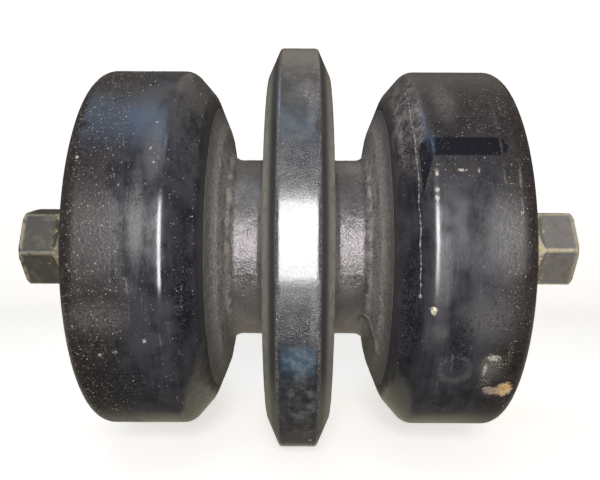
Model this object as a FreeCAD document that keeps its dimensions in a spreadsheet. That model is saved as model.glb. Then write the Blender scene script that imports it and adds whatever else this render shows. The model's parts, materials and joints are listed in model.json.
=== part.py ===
"""Track roller for a compact tracked machine: two flat treads and a centre guide flange on one shell, which turns on a
fixed shaft with hexagonal ends.

The shaft lies along Y, and the origin is on its axis at the middle of the roller. "right" is the +Y end and "left" the -Y
end. Everything is in millimetres. Each piece is a sub-part of its own and is written to parts/ under its label.
"""

import FreeCAD
import Part
import Sketcher
import os

SHEET = "Dimensions"
DIMENSIONS = (
    # outside of the shell
    ("flange_diameter", 225, "centre guide flange over its rim"),
    ("flange_rim_width", 19.5, "flat rim of the centre flange"),
    ("flange_bevel_diameter", 195, "where the flange's bevelled edge meets its side"),
    ("flange_bevel_width", 33.2, "flange width at that diameter"),
    ("flange_root_width", 36, "flange width where it meets the hub"),
    ("tread_diameter", 200, "the two flat treads"),
    ("hub_diameter", 101, "hub between the flange and the treads"),
    ("shell_width", 216, "shell over its two outer rims"),
    ("shoulder_span", 117, "distance between the inner edges of the two treads"),
    ("bevel_root_diameter", 175, "where the tread's inner bevel ends"),
    ("bevel_root_span", 95.4, "distance between the two bevel roots"),
    ("knee_diameter", 136, "where the side wall turns steeper towards the hub"),
    ("knee_span", 80, "distance between the two knees"),
    ("hub_span", 74.4, "length of hub between the two inner side walls"),
    ("rim_edge_radius", 8, "outer edge of each tread"),
    ("shoulder_radius", 9, "inner edge of each tread"),
    ("bevel_root_radius", 12, "blend from the bevel to the side wall"),
    ("knee_radius", 16, "blend at the knee"),
    ("hub_fillet_radius", 6, "side wall to hub"),
    ("flange_fillet_radius", 3, "flange side to hub"),
    ("flange_edge_radius", 2, "edges of the flange rim"),
    ("flange_bevel_radius", 4, "bevel to flange side"),
    # outer ends of the shell
    ("boss_diameter", 118, "boss round the seal, at the dish floor"),
    ("boss_draft", 2, "how much smaller in radius the boss is at its face"),
    ("boss_setback", 2, "boss face behind the rim face"),
    ("dish_depth", 40, "dish in each outer face of the shell"),
    ("rim_inside_diameter", 166, "inside of the outer rim, at the dish floor"),
    ("rim_draft", 3, "how much larger in radius the rim's inside is at its face"),
    ("dish_radius", 6, "corners of the dish floor"),
    ("rim_inner_edge_radius", 2.5, "inner edge of the rim face and outer edge of the boss face"),
    # bore of the shell
    ("chamber_diameter", 66, "cored oil chamber between the bushes"),
    ("chamber_length", 40, "length of the chamber at its full diameter"),
    ("chamber_taper", 4, "axial length of the cone at each end of the chamber"),
    # shaft
    ("shaft_diameter", 50, "journals"),
    ("shaft_length", 312, "shaft over its two end faces"),
    ("end_diameter", 46.5, "turned-down shaft ends"),
    ("collar_shoulder_span", 150.6, "distance between the shoulders that the collars sit against"),
    ("hex_flats", 41, "across the flats of the hexagonal ends"),
    ("hex_length", 19, "full length of the flats"),
    ("hex_runout", 3.5, "sloping end of each flat"),
    ("left_hex_turn", -20, "degrees that the left hexagon is turned about the shaft"),
    ("right_hex_turn", -27, "degrees that the right hexagon is turned about the shaft"),
    ("end_chamfer", 1.2, "chamfer at each end of the shaft"),
    ("tap_drill_diameter", 17.5, "M20 x 2.5 tapped hole in each end, at its tapping size"),
    ("tap_depth", 34, "depth of the tapped holes"),
    ("tap_chamfer", 2, "countersink at the mouth of each tapped hole"),
    ("gallery_diameter", 9, "oil gallery along the shaft"),
    ("cross_hole_diameter", 8, "oil hole across the middle of the shaft"),
    ("plug_diameter", 14, "oil filling plug and its seat"),
    ("plug_length", 12, "oil filling plug"),
    ("plug_seat_length", 14, "seat of the plug beyond the tapped hole"),
    ("plug_socket", 6, "hexagon socket across flats"),
    ("plug_socket_depth", 6, "hexagon socket"),
    # bushes and thrust washers
    ("running_clearance", 0.05, "radial clearance of the bush on the shaft"),
    ("bush_wall", 3, "bush wall"),
    ("bush_length", 48, "bush"),
    ("bush_groove_width", 4, "oil grooves along the bush"),
    ("bush_groove_depth", 1, "oil grooves along the bush"),
    ("washer_thickness", 3, "thrust washer"),
    ("washer_diameter", 70, "thrust washer, outside"),
    ("washer_play", 0.5, "radial play outside and inside the thrust washer"),
    ("end_play", 0.3, "axial play between each washer and its collar"),
    # face seals, drawn outward and inward from the plane where the two rings meet
    ("seal_plane_span", 184, "distance between the seal planes of the two ends"),
    ("seal_film", 0.05, "half of the oil film between the two ring faces"),
    ("seal_inside_diameter", 63, "bore of the metal seal rings"),
    ("seal_face_diameter", 79, "outside of the ring's face flange"),
    ("seal_face_width", 4, "face flange of each ring"),
    ("seal_tail_diameter", 71, "tail of the ring, inside the rubber ring"),
    ("seal_ring_width", 13, "each metal ring"),
    ("seal_seat_depth", 14, "floor of each seat from the seal plane"),
    ("seal_mouth_depth", 2, "mouth of each seat from the seal plane"),
    ("seal_seat_diameter", 82, "seat at its floor"),
    ("seal_mouth_diameter", 85.2, "seat at its mouth"),
    ("toric_section", 5.7, "section of the rubber rings"),
    ("toric_offset", 8.5, "centre of each rubber ring from the seal plane"),
    ("toric_gap", 0.08, "fitting gap under the rubber ring"),
    # collars
    ("collar_sleeve_diameter", 60, "sleeve that runs inside the seals"),
    ("collar_diameter", 95, "collar over its rim"),
    ("labyrinth_gap", 0.5, "radial gap between the collar's rim and the shell"),
    ("collar_face_span", 224, "distance between the outer faces of the two collar rims"),
    ("collar_boss_diameter", 66, "boss that carries the locking pin"),
    ("collar_boss_span", 252, "distance between the outer faces of the two collar bosses"),
    ("collar_chamfer", 1.5, "outer edges of the collar"),
    ("ring_groove_diameter", 52, "O-ring groove in the collar's bore"),
    ("ring_groove_width", 4, "O-ring groove"),
    ("ring_groove_span", 200, "distance between the two O-ring grooves"),
    ("ring_section", 2.7, "O-ring section"),
    ("pin_diameter", 8, "locking pin, half in the shaft and half in the collar"),
    ("pin_length", 36, "locking pin"),
    ("pin_span", 238, "distance between the two locking pins"),
    ("pin_chamfer", 1, "ends of the locking pin"),
)

SKETCH_ORIGIN = -1
HORIZONTAL_AXIS = -1
VERTICAL_AXIS = -2
START = 1
END = 2
TINY = 1e-6
OVERCUT = 5.0  # how far a cutting profile reaches past the metal that it removes
LEFT_SIDE = FreeCAD.Placement(FreeCAD.Vector(0, 0, 0), FreeCAD.Rotation(FreeCAD.Vector(0, 0, 1), 180))
RIGHT_SIDE = FreeCAD.Placement()
SIDES = (("left", LEFT_SIDE), ("right", RIGHT_SIDE))

doc = FreeCAD.newDocument("track_roller")


class Size:
    """A length or angle, with the sheet expression that it comes from."""

    def __init__(self, value, text):
        self.value = float(value)
        self.text = text

    def joined(self, other, sign, value):
        return Size(value, f"({self.text} {sign} {as_size(other).text})")

    def __add__(self, other):
        return self.joined(other, "+", self.value + as_size(other).value)

    def __sub__(self, other):
        return self.joined(other, "-", self.value - as_size(other).value)

    def __mul__(self, other):
        return self.joined(other, "*", self.value * as_size(other).value)

    def __truediv__(self, other):
        return self.joined(other, "/", self.value / as_size(other).value)

    def __neg__(self):
        return Size(-self.value, f"(0 - {self.text})")


def as_size(number):
    return number if isinstance(number, Size) else Size(number, f"{number:g}")


ZERO = as_size(0)


def make_sheet():
    """Fills the spreadsheet and gives back its cells as sizes, by name."""
    sheet = doc.addObject("Spreadsheet::Sheet", SHEET)
    sizes = {}
    for row, (name, value, note) in enumerate(DIMENSIONS, start=1):
        sheet.set(f"A{row}", name)
        sheet.set(f"B{row}", f"{value:g}")
        sheet.setAlias(f"B{row}", name)
        sheet.set(f"C{row}", note)
        sizes[name] = Size(value, f"{SHEET}.{name}")
    doc.recompute()
    return sizes


# ---------------------------------------------------------------- helpers


def bind(thing, name, size):
    """Sets a property from a size and ties it to the sheet."""
    setattr(thing, name, size.value)
    thing.setExpression(name, size.text)


def new_body(label):
    body = doc.addObject("PartDesign::Body", label)
    body.Label = label
    return body


def origin_part(body, role):
    """One of the body's own origin planes or axes."""
    return next(part for part in body.Origin.OriginFeatures if part.Role == role)


def hold(sketch, line, size, direction):
    """Holds the line's start point at a signed distance from the sketch's origin, along X or Y."""
    if abs(size.value) < TINY:
        axis = VERTICAL_AXIS if direction == "X" else HORIZONTAL_AXIS
        sketch.addConstraint(Sketcher.Constraint("PointOnObject", line, START, axis))
        return
    forward = size.value > 0
    pair = (SKETCH_ORIGIN, START, line, START) if forward else (line, START, SKETCH_ORIGIN, START)
    constraint = Sketcher.Constraint(f"Distance{direction}", *pair, abs(size.value))
    index = sketch.addConstraint(constraint)
    name = f"corner{line}{direction}"
    sketch.renameConstraint(index, name)
    sketch.setExpression(f"Constraints.{name}", size.text if forward else (-size).text)


def new_sketch(body, name, plane="XY_Plane", turn=None):
    """An empty sketch on one of the body's origin planes, turned about Y if an angle is given."""
    sketch = body.newObject("Sketcher::SketchObject", name)
    sketch.AttachmentSupport = (origin_part(body, plane), [""])
    sketch.MapMode = "FlatFace"
    if turn is not None:
        sketch.AttachmentOffset = FreeCAD.Placement(
            FreeCAD.Vector(0, 0, 0), FreeCAD.Rotation(FreeCAD.Vector(0, 1, 0), turn.value)
        )
        sketch.setExpression(".AttachmentOffset.Rotation.Angle", turn.text)
    return sketch


def draw_outline(sketch, corners):
    """A closed outline of straight lines. Each corner is a pair of sizes, held by its own dimensions."""
    corners = [(as_size(across), as_size(along)) for across, along in corners]
    points = [FreeCAD.Vector(across.value, along.value, 0) for across, along in corners]
    for start, end in zip(points, points[1:] + points[:1]):
        sketch.addGeometry(Part.LineSegment(start, end), False)
    for line in range(len(points)):
        following = (line + 1) % len(points)
        sketch.addConstraint(Sketcher.Constraint("Coincident", line, END, following, START))
    for line, (across, along) in enumerate(corners):
        hold(sketch, line, across, "X")
        hold(sketch, line, along, "Y")


def draw_circle(sketch, across, along, diameter):
    """One circle, its centre held from the sketch's origin."""
    centre = FreeCAD.Vector(across.value, along.value, 0)
    sketch.addGeometry(Part.Circle(centre, FreeCAD.Vector(0, 0, 1), diameter.value / 2), False)
    index = sketch.addConstraint(Sketcher.Constraint("Diameter", 0, diameter.value))
    sketch.renameConstraint(index, "diameter")
    sketch.setExpression("Constraints.diameter", diameter.text)
    for direction, size in (("X", across), ("Y", along)):
        if abs(size.value) < TINY:
            axis = VERTICAL_AXIS if direction == "X" else HORIZONTAL_AXIS
            sketch.addConstraint(Sketcher.Constraint("PointOnObject", 0, 3, axis))
            continue
        forward = size.value > 0
        pair = (SKETCH_ORIGIN, START, 0, 3) if forward else (0, 3, SKETCH_ORIGIN, START)
        index = sketch.addConstraint(Sketcher.Constraint(f"Distance{direction}", *pair, abs(size.value)))
        sketch.renameConstraint(index, f"centre{direction}")
        sketch.setExpression(f"Constraints.centre{direction}", size.text if forward else (-size).text)


def turned(body, name, corners):
    """Adds material turned about the shaft's axis from an outline of (radius, place along Y) corners."""
    sketch = new_sketch(body, f"{name}_outline")
    draw_outline(sketch, corners)
    feature = body.newObject("PartDesign::Revolution", name)
    feature.Profile = sketch
    feature.ReferenceAxis = (sketch, ["V_Axis"])
    feature.Angle = 360
    return feature


def bored(body, name, corners):
    """Removes material turned about the shaft's axis from an outline of (radius, place along Y) corners."""
    sketch = new_sketch(body, f"{name}_outline")
    draw_outline(sketch, corners)
    feature = body.newObject("PartDesign::Groove", name)
    feature.Profile = sketch
    feature.ReferenceAxis = (sketch, ["V_Axis"])
    feature.Angle = 360
    return feature


def cut_both_ways(body, name, sketch, length):
    """Removes a sketch's area for a length shared equally by both sides of its plane."""
    feature = body.newObject("PartDesign::Pocket", name)
    feature.Profile = sketch
    feature.Midplane = True
    bind(feature, "Length", length)
    return feature


def repeated_round(body, name, feature, count):
    """Repeats a feature evenly round the shaft's axis."""
    pattern = body.newObject("PartDesign::PolarPattern", name)
    pattern.Originals = [feature]
    pattern.Axis = (origin_part(body, "Y_Axis"), [""])
    pattern.Angle = 360
    pattern.Occurrences = count
    body.Tip = pattern
    return pattern


def ring_edges(shape, radius, place):
    """Names of the round edges about the shaft's axis with that radius, at that distance from the middle."""
    names = []
    for number, edge in enumerate(shape.Edges, start=1):
        if not isinstance(edge.Curve, Part.Circle):
            continue
        same_radius = abs(edge.Curve.Radius - radius.value) < 1e-3
        if same_radius and abs(abs(edge.Curve.Center.y) - abs(place.value)) < 1e-3:
            names.append(f"Edge{number}")
    return names


def rounded(body, name, rings, radius):
    """Rounds the edges at each (radius, place) in rings, at both ends of the body."""
    doc.recompute()
    base = body.Tip
    edges = [edge for ring in rings for edge in ring_edges(base.Shape, *ring)]
    if not edges:
        raise ValueError(f"{name}: no edge found to round")
    feature = body.newObject("PartDesign::Fillet", name)
    feature.Base = (base, edges)
    bind(feature, "Radius", radius)
    return feature


def torus(label, placement, ring_radius, section, place):
    """A rubber ring round the shaft's axis."""
    ring = doc.addObject("Part::Torus", label)
    ring.Label = label
    bind(ring, "Radius1", ring_radius)
    bind(ring, "Radius2", section / 2)
    onto_axis = FreeCAD.Rotation(FreeCAD.Vector(1, 0, 0), -90)
    direction = 1 if placement is RIGHT_SIDE else -1
    ring.Placement = FreeCAD.Placement(FreeCAD.Vector(0, direction * place.value, 0), onto_axis)
    ring.setExpression(".Placement.Base.y", (place * direction).text)
    return ring


# ---------------------------------------------------------------- the shell, which turns


def make_shell(d):
    """Shell: treads, centre flange, hub, cored chamber, bush seats and seal seats."""
    body = new_body("roller_shell")
    half_width = d["shell_width"] / 2
    seal_plane = d["seal_plane_span"] / 2
    bush_radius = d["shaft_diameter"] / 2 + d["bush_wall"]
    washer_seat = d["washer_diameter"] / 2 + d["washer_play"]
    washer_floor = d["collar_shoulder_span"] / 2 - d["end_play"] - d["washer_thickness"]
    seal_floor = seal_plane - d["seal_seat_depth"]
    labyrinth = d["collar_diameter"] / 2 + d["labyrinth_gap"]
    boss_face = half_width - d["boss_setback"]
    dish_floor = half_width - d["dish_depth"]
    chamber_end = d["chamber_length"] / 2
    corners = (
        (d["chamber_diameter"] / 2, ZERO),
        (d["chamber_diameter"] / 2, chamber_end),
        (bush_radius, chamber_end + d["chamber_taper"]),
        (bush_radius, washer_floor),
        (washer_seat, washer_floor),
        (washer_seat, seal_floor),
        (d["seal_seat_diameter"] / 2, seal_floor),
        (d["seal_mouth_diameter"] / 2, seal_plane - d["seal_mouth_depth"]),
        (d["seal_mouth_diameter"] / 2 + d["seal_mouth_depth"], seal_plane),
        (labyrinth, seal_plane),
        (labyrinth, boss_face),
        (d["boss_diameter"] / 2 - d["boss_draft"], boss_face),
        (d["boss_diameter"] / 2, dish_floor),
        (d["rim_inside_diameter"] / 2, dish_floor),
        (d["rim_inside_diameter"] / 2 + d["rim_draft"], half_width),
        (d["tread_diameter"] / 2, half_width),
        (d["tread_diameter"] / 2, d["shoulder_span"] / 2),
        (d["bevel_root_diameter"] / 2, d["bevel_root_span"] / 2),
        (d["knee_diameter"] / 2, d["knee_span"] / 2),
        (d["hub_diameter"] / 2, d["hub_span"] / 2),
        (d["hub_diameter"] / 2, d["flange_root_width"] / 2),
        (d["flange_bevel_diameter"] / 2, d["flange_bevel_width"] / 2),
        (d["flange_diameter"] / 2, d["flange_rim_width"] / 2),
        (d["flange_diameter"] / 2, ZERO),
    )
    half = turned(body, "shell_half", corners)
    mirror = body.newObject("PartDesign::Mirrored", "shell_both_halves")
    mirror.Originals = [half]
    mirror.MirrorPlane = (origin_part(body, "XZ_Plane"), [""])
    mirror.Refine = True
    body.Tip = mirror
    at = dict(
        rim=(d["tread_diameter"] / 2, half_width),
        shoulder=(d["tread_diameter"] / 2, d["shoulder_span"] / 2),
        bevel_root=(d["bevel_root_diameter"] / 2, d["bevel_root_span"] / 2),
        knee=(d["knee_diameter"] / 2, d["knee_span"] / 2),
        hub=(d["hub_diameter"] / 2, d["hub_span"] / 2),
        flange_root=(d["hub_diameter"] / 2, d["flange_root_width"] / 2),
        flange_bevel=(d["flange_bevel_diameter"] / 2, d["flange_bevel_width"] / 2),
        flange_edge=(d["flange_diameter"] / 2, d["flange_rim_width"] / 2),
        boss_floor=(d["boss_diameter"] / 2, dish_floor),
        rim_floor=(d["rim_inside_diameter"] / 2, dish_floor),
        rim_inside=(d["rim_inside_diameter"] / 2 + d["rim_draft"], half_width),
        boss_edge=(d["boss_diameter"] / 2 - d["boss_draft"], boss_face),
    )
    rounded(body, "round_rims", [at["rim"]], d["rim_edge_radius"])
    rounded(body, "round_shoulders", [at["shoulder"]], d["shoulder_radius"])
    rounded(body, "blend_bevels", [at["bevel_root"]], d["bevel_root_radius"])
    rounded(body, "blend_knees", [at["knee"]], d["knee_radius"])
    rounded(body, "blend_hub", [at["hub"]], d["hub_fillet_radius"])
    rounded(body, "blend_flange", [at["flange_root"]], d["flange_fillet_radius"])
    rounded(body, "round_flange_edges", [at["flange_edge"]], d["flange_edge_radius"])
    rounded(body, "round_flange_sides", [at["flange_bevel"]], d["flange_bevel_radius"])
    rounded(body, "blend_dishes", [at["boss_floor"], at["rim_floor"]], d["dish_radius"])
    rounded(body, "round_faces", [at["rim_inside"], at["boss_edge"]], d["rim_inner_edge_radius"])
    return body


def make_bush(d, side, placement):
    """Bush pressed into the shell, with three oil grooves along its bore."""
    body = new_body(f"{side}_bush")
    inside = d["shaft_diameter"] / 2 + d["running_clearance"]
    outside = d["shaft_diameter"] / 2 + d["bush_wall"]
    outer_end = d["collar_shoulder_span"] / 2 - d["end_play"] - d["washer_thickness"]
    inner_end = outer_end - d["bush_length"]
    turned(
        body,
        f"{side}_bush_ring",
        ((inside, inner_end), (outside, inner_end), (outside, outer_end), (inside, outer_end)),
    )
    sketch = new_sketch(body, f"{side}_bush_groove_outline")
    depth = inside + d["bush_groove_depth"]
    clear_in = inner_end - OVERCUT
    clear_out = outer_end + OVERCUT
    draw_outline(
        sketch,
        (
            (inside - OVERCUT, clear_in),
            (depth, clear_in),
            (depth, clear_out),
            (inside - OVERCUT, clear_out),
        ),
    )
    groove = cut_both_ways(body, f"{side}_bush_groove", sketch, d["bush_groove_width"])
    repeated_round(body, f"{side}_bush_grooves", groove, 3)
    body.Placement = placement
    return body


def make_thrust_washer(d, side, placement):
    """Bronze washer between the shell and the collar's sleeve, which takes the side load."""
    body = new_body(f"{side}_thrust_washer")
    inside = d["shaft_diameter"] / 2 + d["washer_play"]
    outside = d["washer_diameter"] / 2
    outer_face = d["collar_shoulder_span"] / 2 - d["end_play"]
    inner_face = outer_face - d["washer_thickness"]
    turned(
        body,
        f"{side}_thrust_washer_ring",
        ((inside, inner_face), (outside, inner_face), (outside, outer_face), (inside, outer_face)),
    )
    body.Placement = placement
    return body


# ---------------------------------------------------------------- face seals


def seal_ring(d, label, placement, outward):
    """Metal seal ring: a face flange at the seal plane and a tail that carries the rubber ring.
    outward is 1 for the ring in the collar and -1 for the ring in the shell."""
    body = new_body(label)
    plane = d["seal_plane_span"] / 2
    inside = d["seal_inside_diameter"] / 2
    tail = d["seal_tail_diameter"] / 2
    face = plane + d["seal_film"] * outward
    flange_back = plane + d["seal_face_width"] * outward
    tail_end = plane + d["seal_ring_width"] * outward
    turned(
        body,
        f"{label}_section",
        (
            (inside, face),
            (d["seal_face_diameter"] / 2, face),
            (d["seal_face_diameter"] / 2, flange_back),
            (tail, flange_back),
            (tail, tail_end),
            (inside, tail_end),
        ),
    )
    body.Placement = placement
    return body


def toric_ring(d, label, placement, outward):
    """Rubber ring that loads the metal ring and seals it to its seat."""
    place = d["seal_plane_span"] / 2 + d["toric_offset"] * outward
    ring_radius = d["seal_tail_diameter"] / 2 + d["toric_section"] / 2 + d["toric_gap"]
    return torus(label, placement, ring_radius, d["toric_section"], place)


# ---------------------------------------------------------------- collars and their locking pieces


def make_collar(d, side, placement):
    """End collar: sleeve inside the seals, seat for the stationary seal ring, labyrinth rim and pin boss."""
    body = new_body(f"{side}_collar")
    bore = d["end_diameter"] / 2
    sleeve = d["collar_sleeve_diameter"] / 2
    plane = d["seal_plane_span"] / 2
    inner_end = d["collar_shoulder_span"] / 2
    seat_floor = plane + d["seal_seat_depth"]
    seat_mouth = plane + d["seal_mouth_depth"]
    rim = d["collar_diameter"] / 2
    rim_face = d["collar_face_span"] / 2
    boss = d["collar_boss_diameter"] / 2
    boss_face = d["collar_boss_span"] / 2
    chamfer = d["collar_chamfer"]
    groove = d["ring_groove_diameter"] / 2
    groove_middle = d["ring_groove_span"] / 2
    groove_half = d["ring_groove_width"] / 2
    turned(
        body,
        f"{side}_collar_section",
        (
            (bore, inner_end),
            (sleeve, inner_end),
            (sleeve, seat_floor),
            (d["seal_seat_diameter"] / 2, seat_floor),
            (d["seal_mouth_diameter"] / 2, seat_mouth),
            (rim, seat_mouth),
            (rim, rim_face - chamfer),
            (rim - chamfer, rim_face),
            (boss, rim_face),
            (boss, boss_face - chamfer),
            (boss - chamfer, boss_face),
            (bore, boss_face),
            (bore, groove_middle + groove_half),
            (groove, groove_middle + groove_half),
            (groove, groove_middle - groove_half),
            (bore, groove_middle - groove_half),
        ),
    )
    sketch = new_sketch(body, f"{side}_collar_pin_hole_outline", "YZ_Plane")
    draw_circle(sketch, d["pin_span"] / 2, bore, d["pin_diameter"])
    cut_both_ways(body, f"{side}_collar_pin_hole", sketch, d["collar_boss_diameter"] * 2)
    body.Placement = placement
    return body


def make_pin(d, side, direction):
    """Locking pin across the collar and the shaft, flush inside its hole."""
    body = new_body(f"{side}_collar_pin")
    radius = d["pin_diameter"] / 2
    half = d["pin_length"] / 2
    chamfer = d["pin_chamfer"]
    turned(
        body,
        f"{side}_collar_pin_section",
        (
            (ZERO, -half),
            (radius - chamfer, -half),
            (radius, -half + chamfer),
            (radius, half - chamfer),
            (radius - chamfer, half),
            (ZERO, half),
        ),
    )
    across = FreeCAD.Rotation(FreeCAD.Vector(0, 0, 1), 90)
    centre = FreeCAD.Vector(0, direction * d["pin_span"].value / 2, d["end_diameter"].value / 2)
    body.Placement = FreeCAD.Placement(centre, across)
    body.setExpression(".Placement.Base.y", (d["pin_span"] / 2 * direction).text)
    body.setExpression(".Placement.Base.z", (d["end_diameter"] / 2).text)
    return body


def make_collar_o_ring(d, side, placement):
    """O-ring between the collar's bore and the shaft."""
    section = d["ring_section"]
    ring_radius = d["end_diameter"] / 2 + section / 2 + d["toric_gap"] / 4
    return torus(f"{side}_collar_o_ring", placement, ring_radius, section, d["ring_groove_span"] / 2)


# ---------------------------------------------------------------- the shaft, which stays still


def mill_hexagon(d, body, side, direction):
    """Mills six flats with sloping run-outs on one end of the shaft."""
    flat = d["hex_flats"] / 2
    clear = as_size(d["shaft_diameter"] / 2) + OVERCUT
    end = d["shaft_length"] / 2
    full = end - d["hex_length"]
    rise = d["end_diameter"] / 2 - flat
    ramp_end = full - d["hex_runout"]
    slope_clear = ramp_end - d["hex_runout"] * OVERCUT / rise
    sketch = new_sketch(body, f"{side}_flat_outline", turn=d[f"{side}_hex_turn"])
    draw_outline(
        sketch,
        (
            (flat, (end + OVERCUT) * direction),
            (flat, full * direction),
            (flat + rise + OVERCUT, slope_clear * direction),
            (clear + OVERCUT, slope_clear * direction),
            (clear + OVERCUT, (end + OVERCUT) * direction),
        ),
    )
    flat_cut = cut_both_ways(body, f"{side}_flat", sketch, d["shaft_diameter"] * 2)
    return repeated_round(body, f"{side}_hexagon", flat_cut, 6)


def make_shaft(d):
    """Shaft: journals, turned-down ends with milled hexagons, tapped ends and the oil gallery."""
    body = new_body("shaft")
    journal = d["shaft_diameter"] / 2
    turned_end = d["end_diameter"] / 2
    shoulder = d["collar_shoulder_span"] / 2
    end = d["shaft_length"] / 2
    chamfer = d["end_chamfer"]
    right_half = (
        (journal, shoulder),
        (turned_end, shoulder),
        (turned_end, end - chamfer),
        (turned_end - chamfer, end),
        (ZERO, end),
    )
    left_half = tuple((radius, -place) for radius, place in reversed(right_half))
    turned(body, "shaft_bar", right_half + left_half)
    tap = d["tap_drill_diameter"] / 2
    mouth = tap + d["tap_chamfer"]
    gallery = d["gallery_diameter"] / 2
    tap_floor = end - d["tap_depth"]
    plug_floor = tap_floor - d["plug_seat_length"]
    bored(
        body,
        "right_tapped_hole_and_gallery",
        (
            (ZERO, -d["cross_hole_diameter"] / 2),
            (gallery, -d["cross_hole_diameter"] / 2),
            (gallery, plug_floor),
            (d["plug_diameter"] / 2, plug_floor),
            (d["plug_diameter"] / 2, tap_floor),
            (tap, tap_floor),
            (tap, end - d["tap_chamfer"]),
            (mouth, end),
            (mouth, end + OVERCUT),
            (ZERO, end + OVERCUT),
        ),
    )
    bored(
        body,
        "left_tapped_hole",
        (
            (ZERO, -(tap_floor - tap / 2)),
            (tap, -tap_floor),
            (tap, -(end - d["tap_chamfer"])),
            (mouth, -end),
            (mouth, -(end + OVERCUT)),
            (ZERO, -(end + OVERCUT)),
        ),
    )
    sketch = new_sketch(body, "cross_hole_outline")
    draw_circle(sketch, ZERO, ZERO, d["cross_hole_diameter"])
    cut_both_ways(body, "cross_hole", sketch, d["shaft_diameter"] * 2)
    for side, direction in (("left", -1), ("right", 1)):
        sketch = new_sketch(body, f"{side}_pin_groove_outline", "YZ_Plane")
        draw_circle(sketch, d["pin_span"] / 2 * direction, turned_end, d["pin_diameter"])
        cut_both_ways(body, f"{side}_pin_groove", sketch, d["shaft_diameter"] * 2)
        mill_hexagon(d, body, side, direction)
    return body


def make_plug(d):
    """Oil filling plug at the bottom of the right tapped hole."""
    body = new_body("oil_fill_plug")
    outer = d["shaft_length"] / 2 - d["tap_depth"] - d["plug_seat_length"] + d["plug_length"]
    inner = outer - d["plug_length"]
    turned(
        body,
        "plug_body",
        (
            (ZERO, inner),
            (d["plug_diameter"] / 2, inner),
            (d["plug_diameter"] / 2, outer),
            (ZERO, outer),
        ),
    )
    sketch = new_sketch(body, "socket_outline")
    half = d["plug_socket"] / 2
    bottom = outer - d["plug_socket_depth"]
    draw_outline(
        sketch,
        ((-half, bottom), (half, bottom), (half, outer + OVERCUT), (-half, outer + OVERCUT)),
    )
    side_length = d["plug_socket"] / 1.7320508
    cut_both_ways(body, "socket_slot", sketch, side_length)
    repeated_round(body, "socket", body.Tip, 6)
    return body


# ---------------------------------------------------------------- build and write


def check(thing):
    """Stops the build if a sub-part failed, is empty or isn't valid."""
    shape = thing.Shape
    if shape.isNull() or not shape.isValid() or not shape.Solids:
        raise ValueError(f"{thing.Label} has no valid solid")
    if thing.TypeId == "PartDesign::Body" and len(shape.Solids) != 1:
        raise ValueError(f"{thing.Label} has {len(shape.Solids)} solids")


def main():
    d = make_sheet()
    pieces = [make_shell(d), make_shaft(d), make_plug(d)]
    for side, placement in SIDES:
        pieces += [
            make_bush(d, side, placement),
            make_thrust_washer(d, side, placement),
            seal_ring(d, f"{side}_shell_seal_ring", placement, -1),
            seal_ring(d, f"{side}_collar_seal_ring", placement, 1),
            toric_ring(d, f"{side}_shell_toric_ring", placement, -1),
            toric_ring(d, f"{side}_collar_toric_ring", placement, 1),
            make_collar(d, side, placement),
            make_collar_o_ring(d, side, placement),
            make_pin(d, side, 1 if side == "right" else -1),
        ]
    doc.recompute()
    for thing in doc.Objects:
        if "Invalid" in thing.State or "Error" in thing.State:
            raise ValueError(f"{thing.Label} failed: {thing.State}")
    os.makedirs("parts", exist_ok=True)
    for thing in pieces:
        check(thing)
    for thing in pieces:
        thing.Shape.exportStep(f"parts/{thing.Label}.step")
        print(f"{thing.Label}: {thing.Shape.Volume / 1000:.2f} cm3")


main()
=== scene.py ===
import json
import math
import bpy
import bmesh
import numpy as np
from mathutils import Matrix, Vector, noise


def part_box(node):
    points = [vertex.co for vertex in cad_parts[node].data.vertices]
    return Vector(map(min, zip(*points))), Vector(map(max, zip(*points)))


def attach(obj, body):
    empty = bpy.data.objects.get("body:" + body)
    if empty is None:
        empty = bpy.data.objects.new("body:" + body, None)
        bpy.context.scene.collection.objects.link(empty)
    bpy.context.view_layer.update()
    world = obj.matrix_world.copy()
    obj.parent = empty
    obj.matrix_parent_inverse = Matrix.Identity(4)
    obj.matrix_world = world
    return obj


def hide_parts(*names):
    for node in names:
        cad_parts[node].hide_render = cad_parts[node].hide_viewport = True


# Track roller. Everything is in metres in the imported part's own frame: shaft along Y, +Z up, right end at +Y.
# Sizes in the dictionaries are millimetres and degrees. "turn" is the angle round the shaft, from +X towards
# +Z. Lamps and the studio are in metres.

mm = 0.001
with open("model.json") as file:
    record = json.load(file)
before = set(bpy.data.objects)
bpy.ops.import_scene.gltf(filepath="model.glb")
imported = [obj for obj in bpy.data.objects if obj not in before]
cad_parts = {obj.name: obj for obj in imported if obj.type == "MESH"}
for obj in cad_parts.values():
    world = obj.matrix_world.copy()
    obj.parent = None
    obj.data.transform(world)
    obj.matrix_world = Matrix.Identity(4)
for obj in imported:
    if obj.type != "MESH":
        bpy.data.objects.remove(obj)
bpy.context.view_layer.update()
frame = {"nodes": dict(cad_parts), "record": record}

shellLow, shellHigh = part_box("roller_shell")
shaftLow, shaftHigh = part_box("shaft")
flangeRadius = shellHigh.x / mm
shellHalf = shellHigh.y / mm
shaftHalf = shaftHigh.y / mm


# turning tools: every round piece is an outline swept about the shaft

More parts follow.
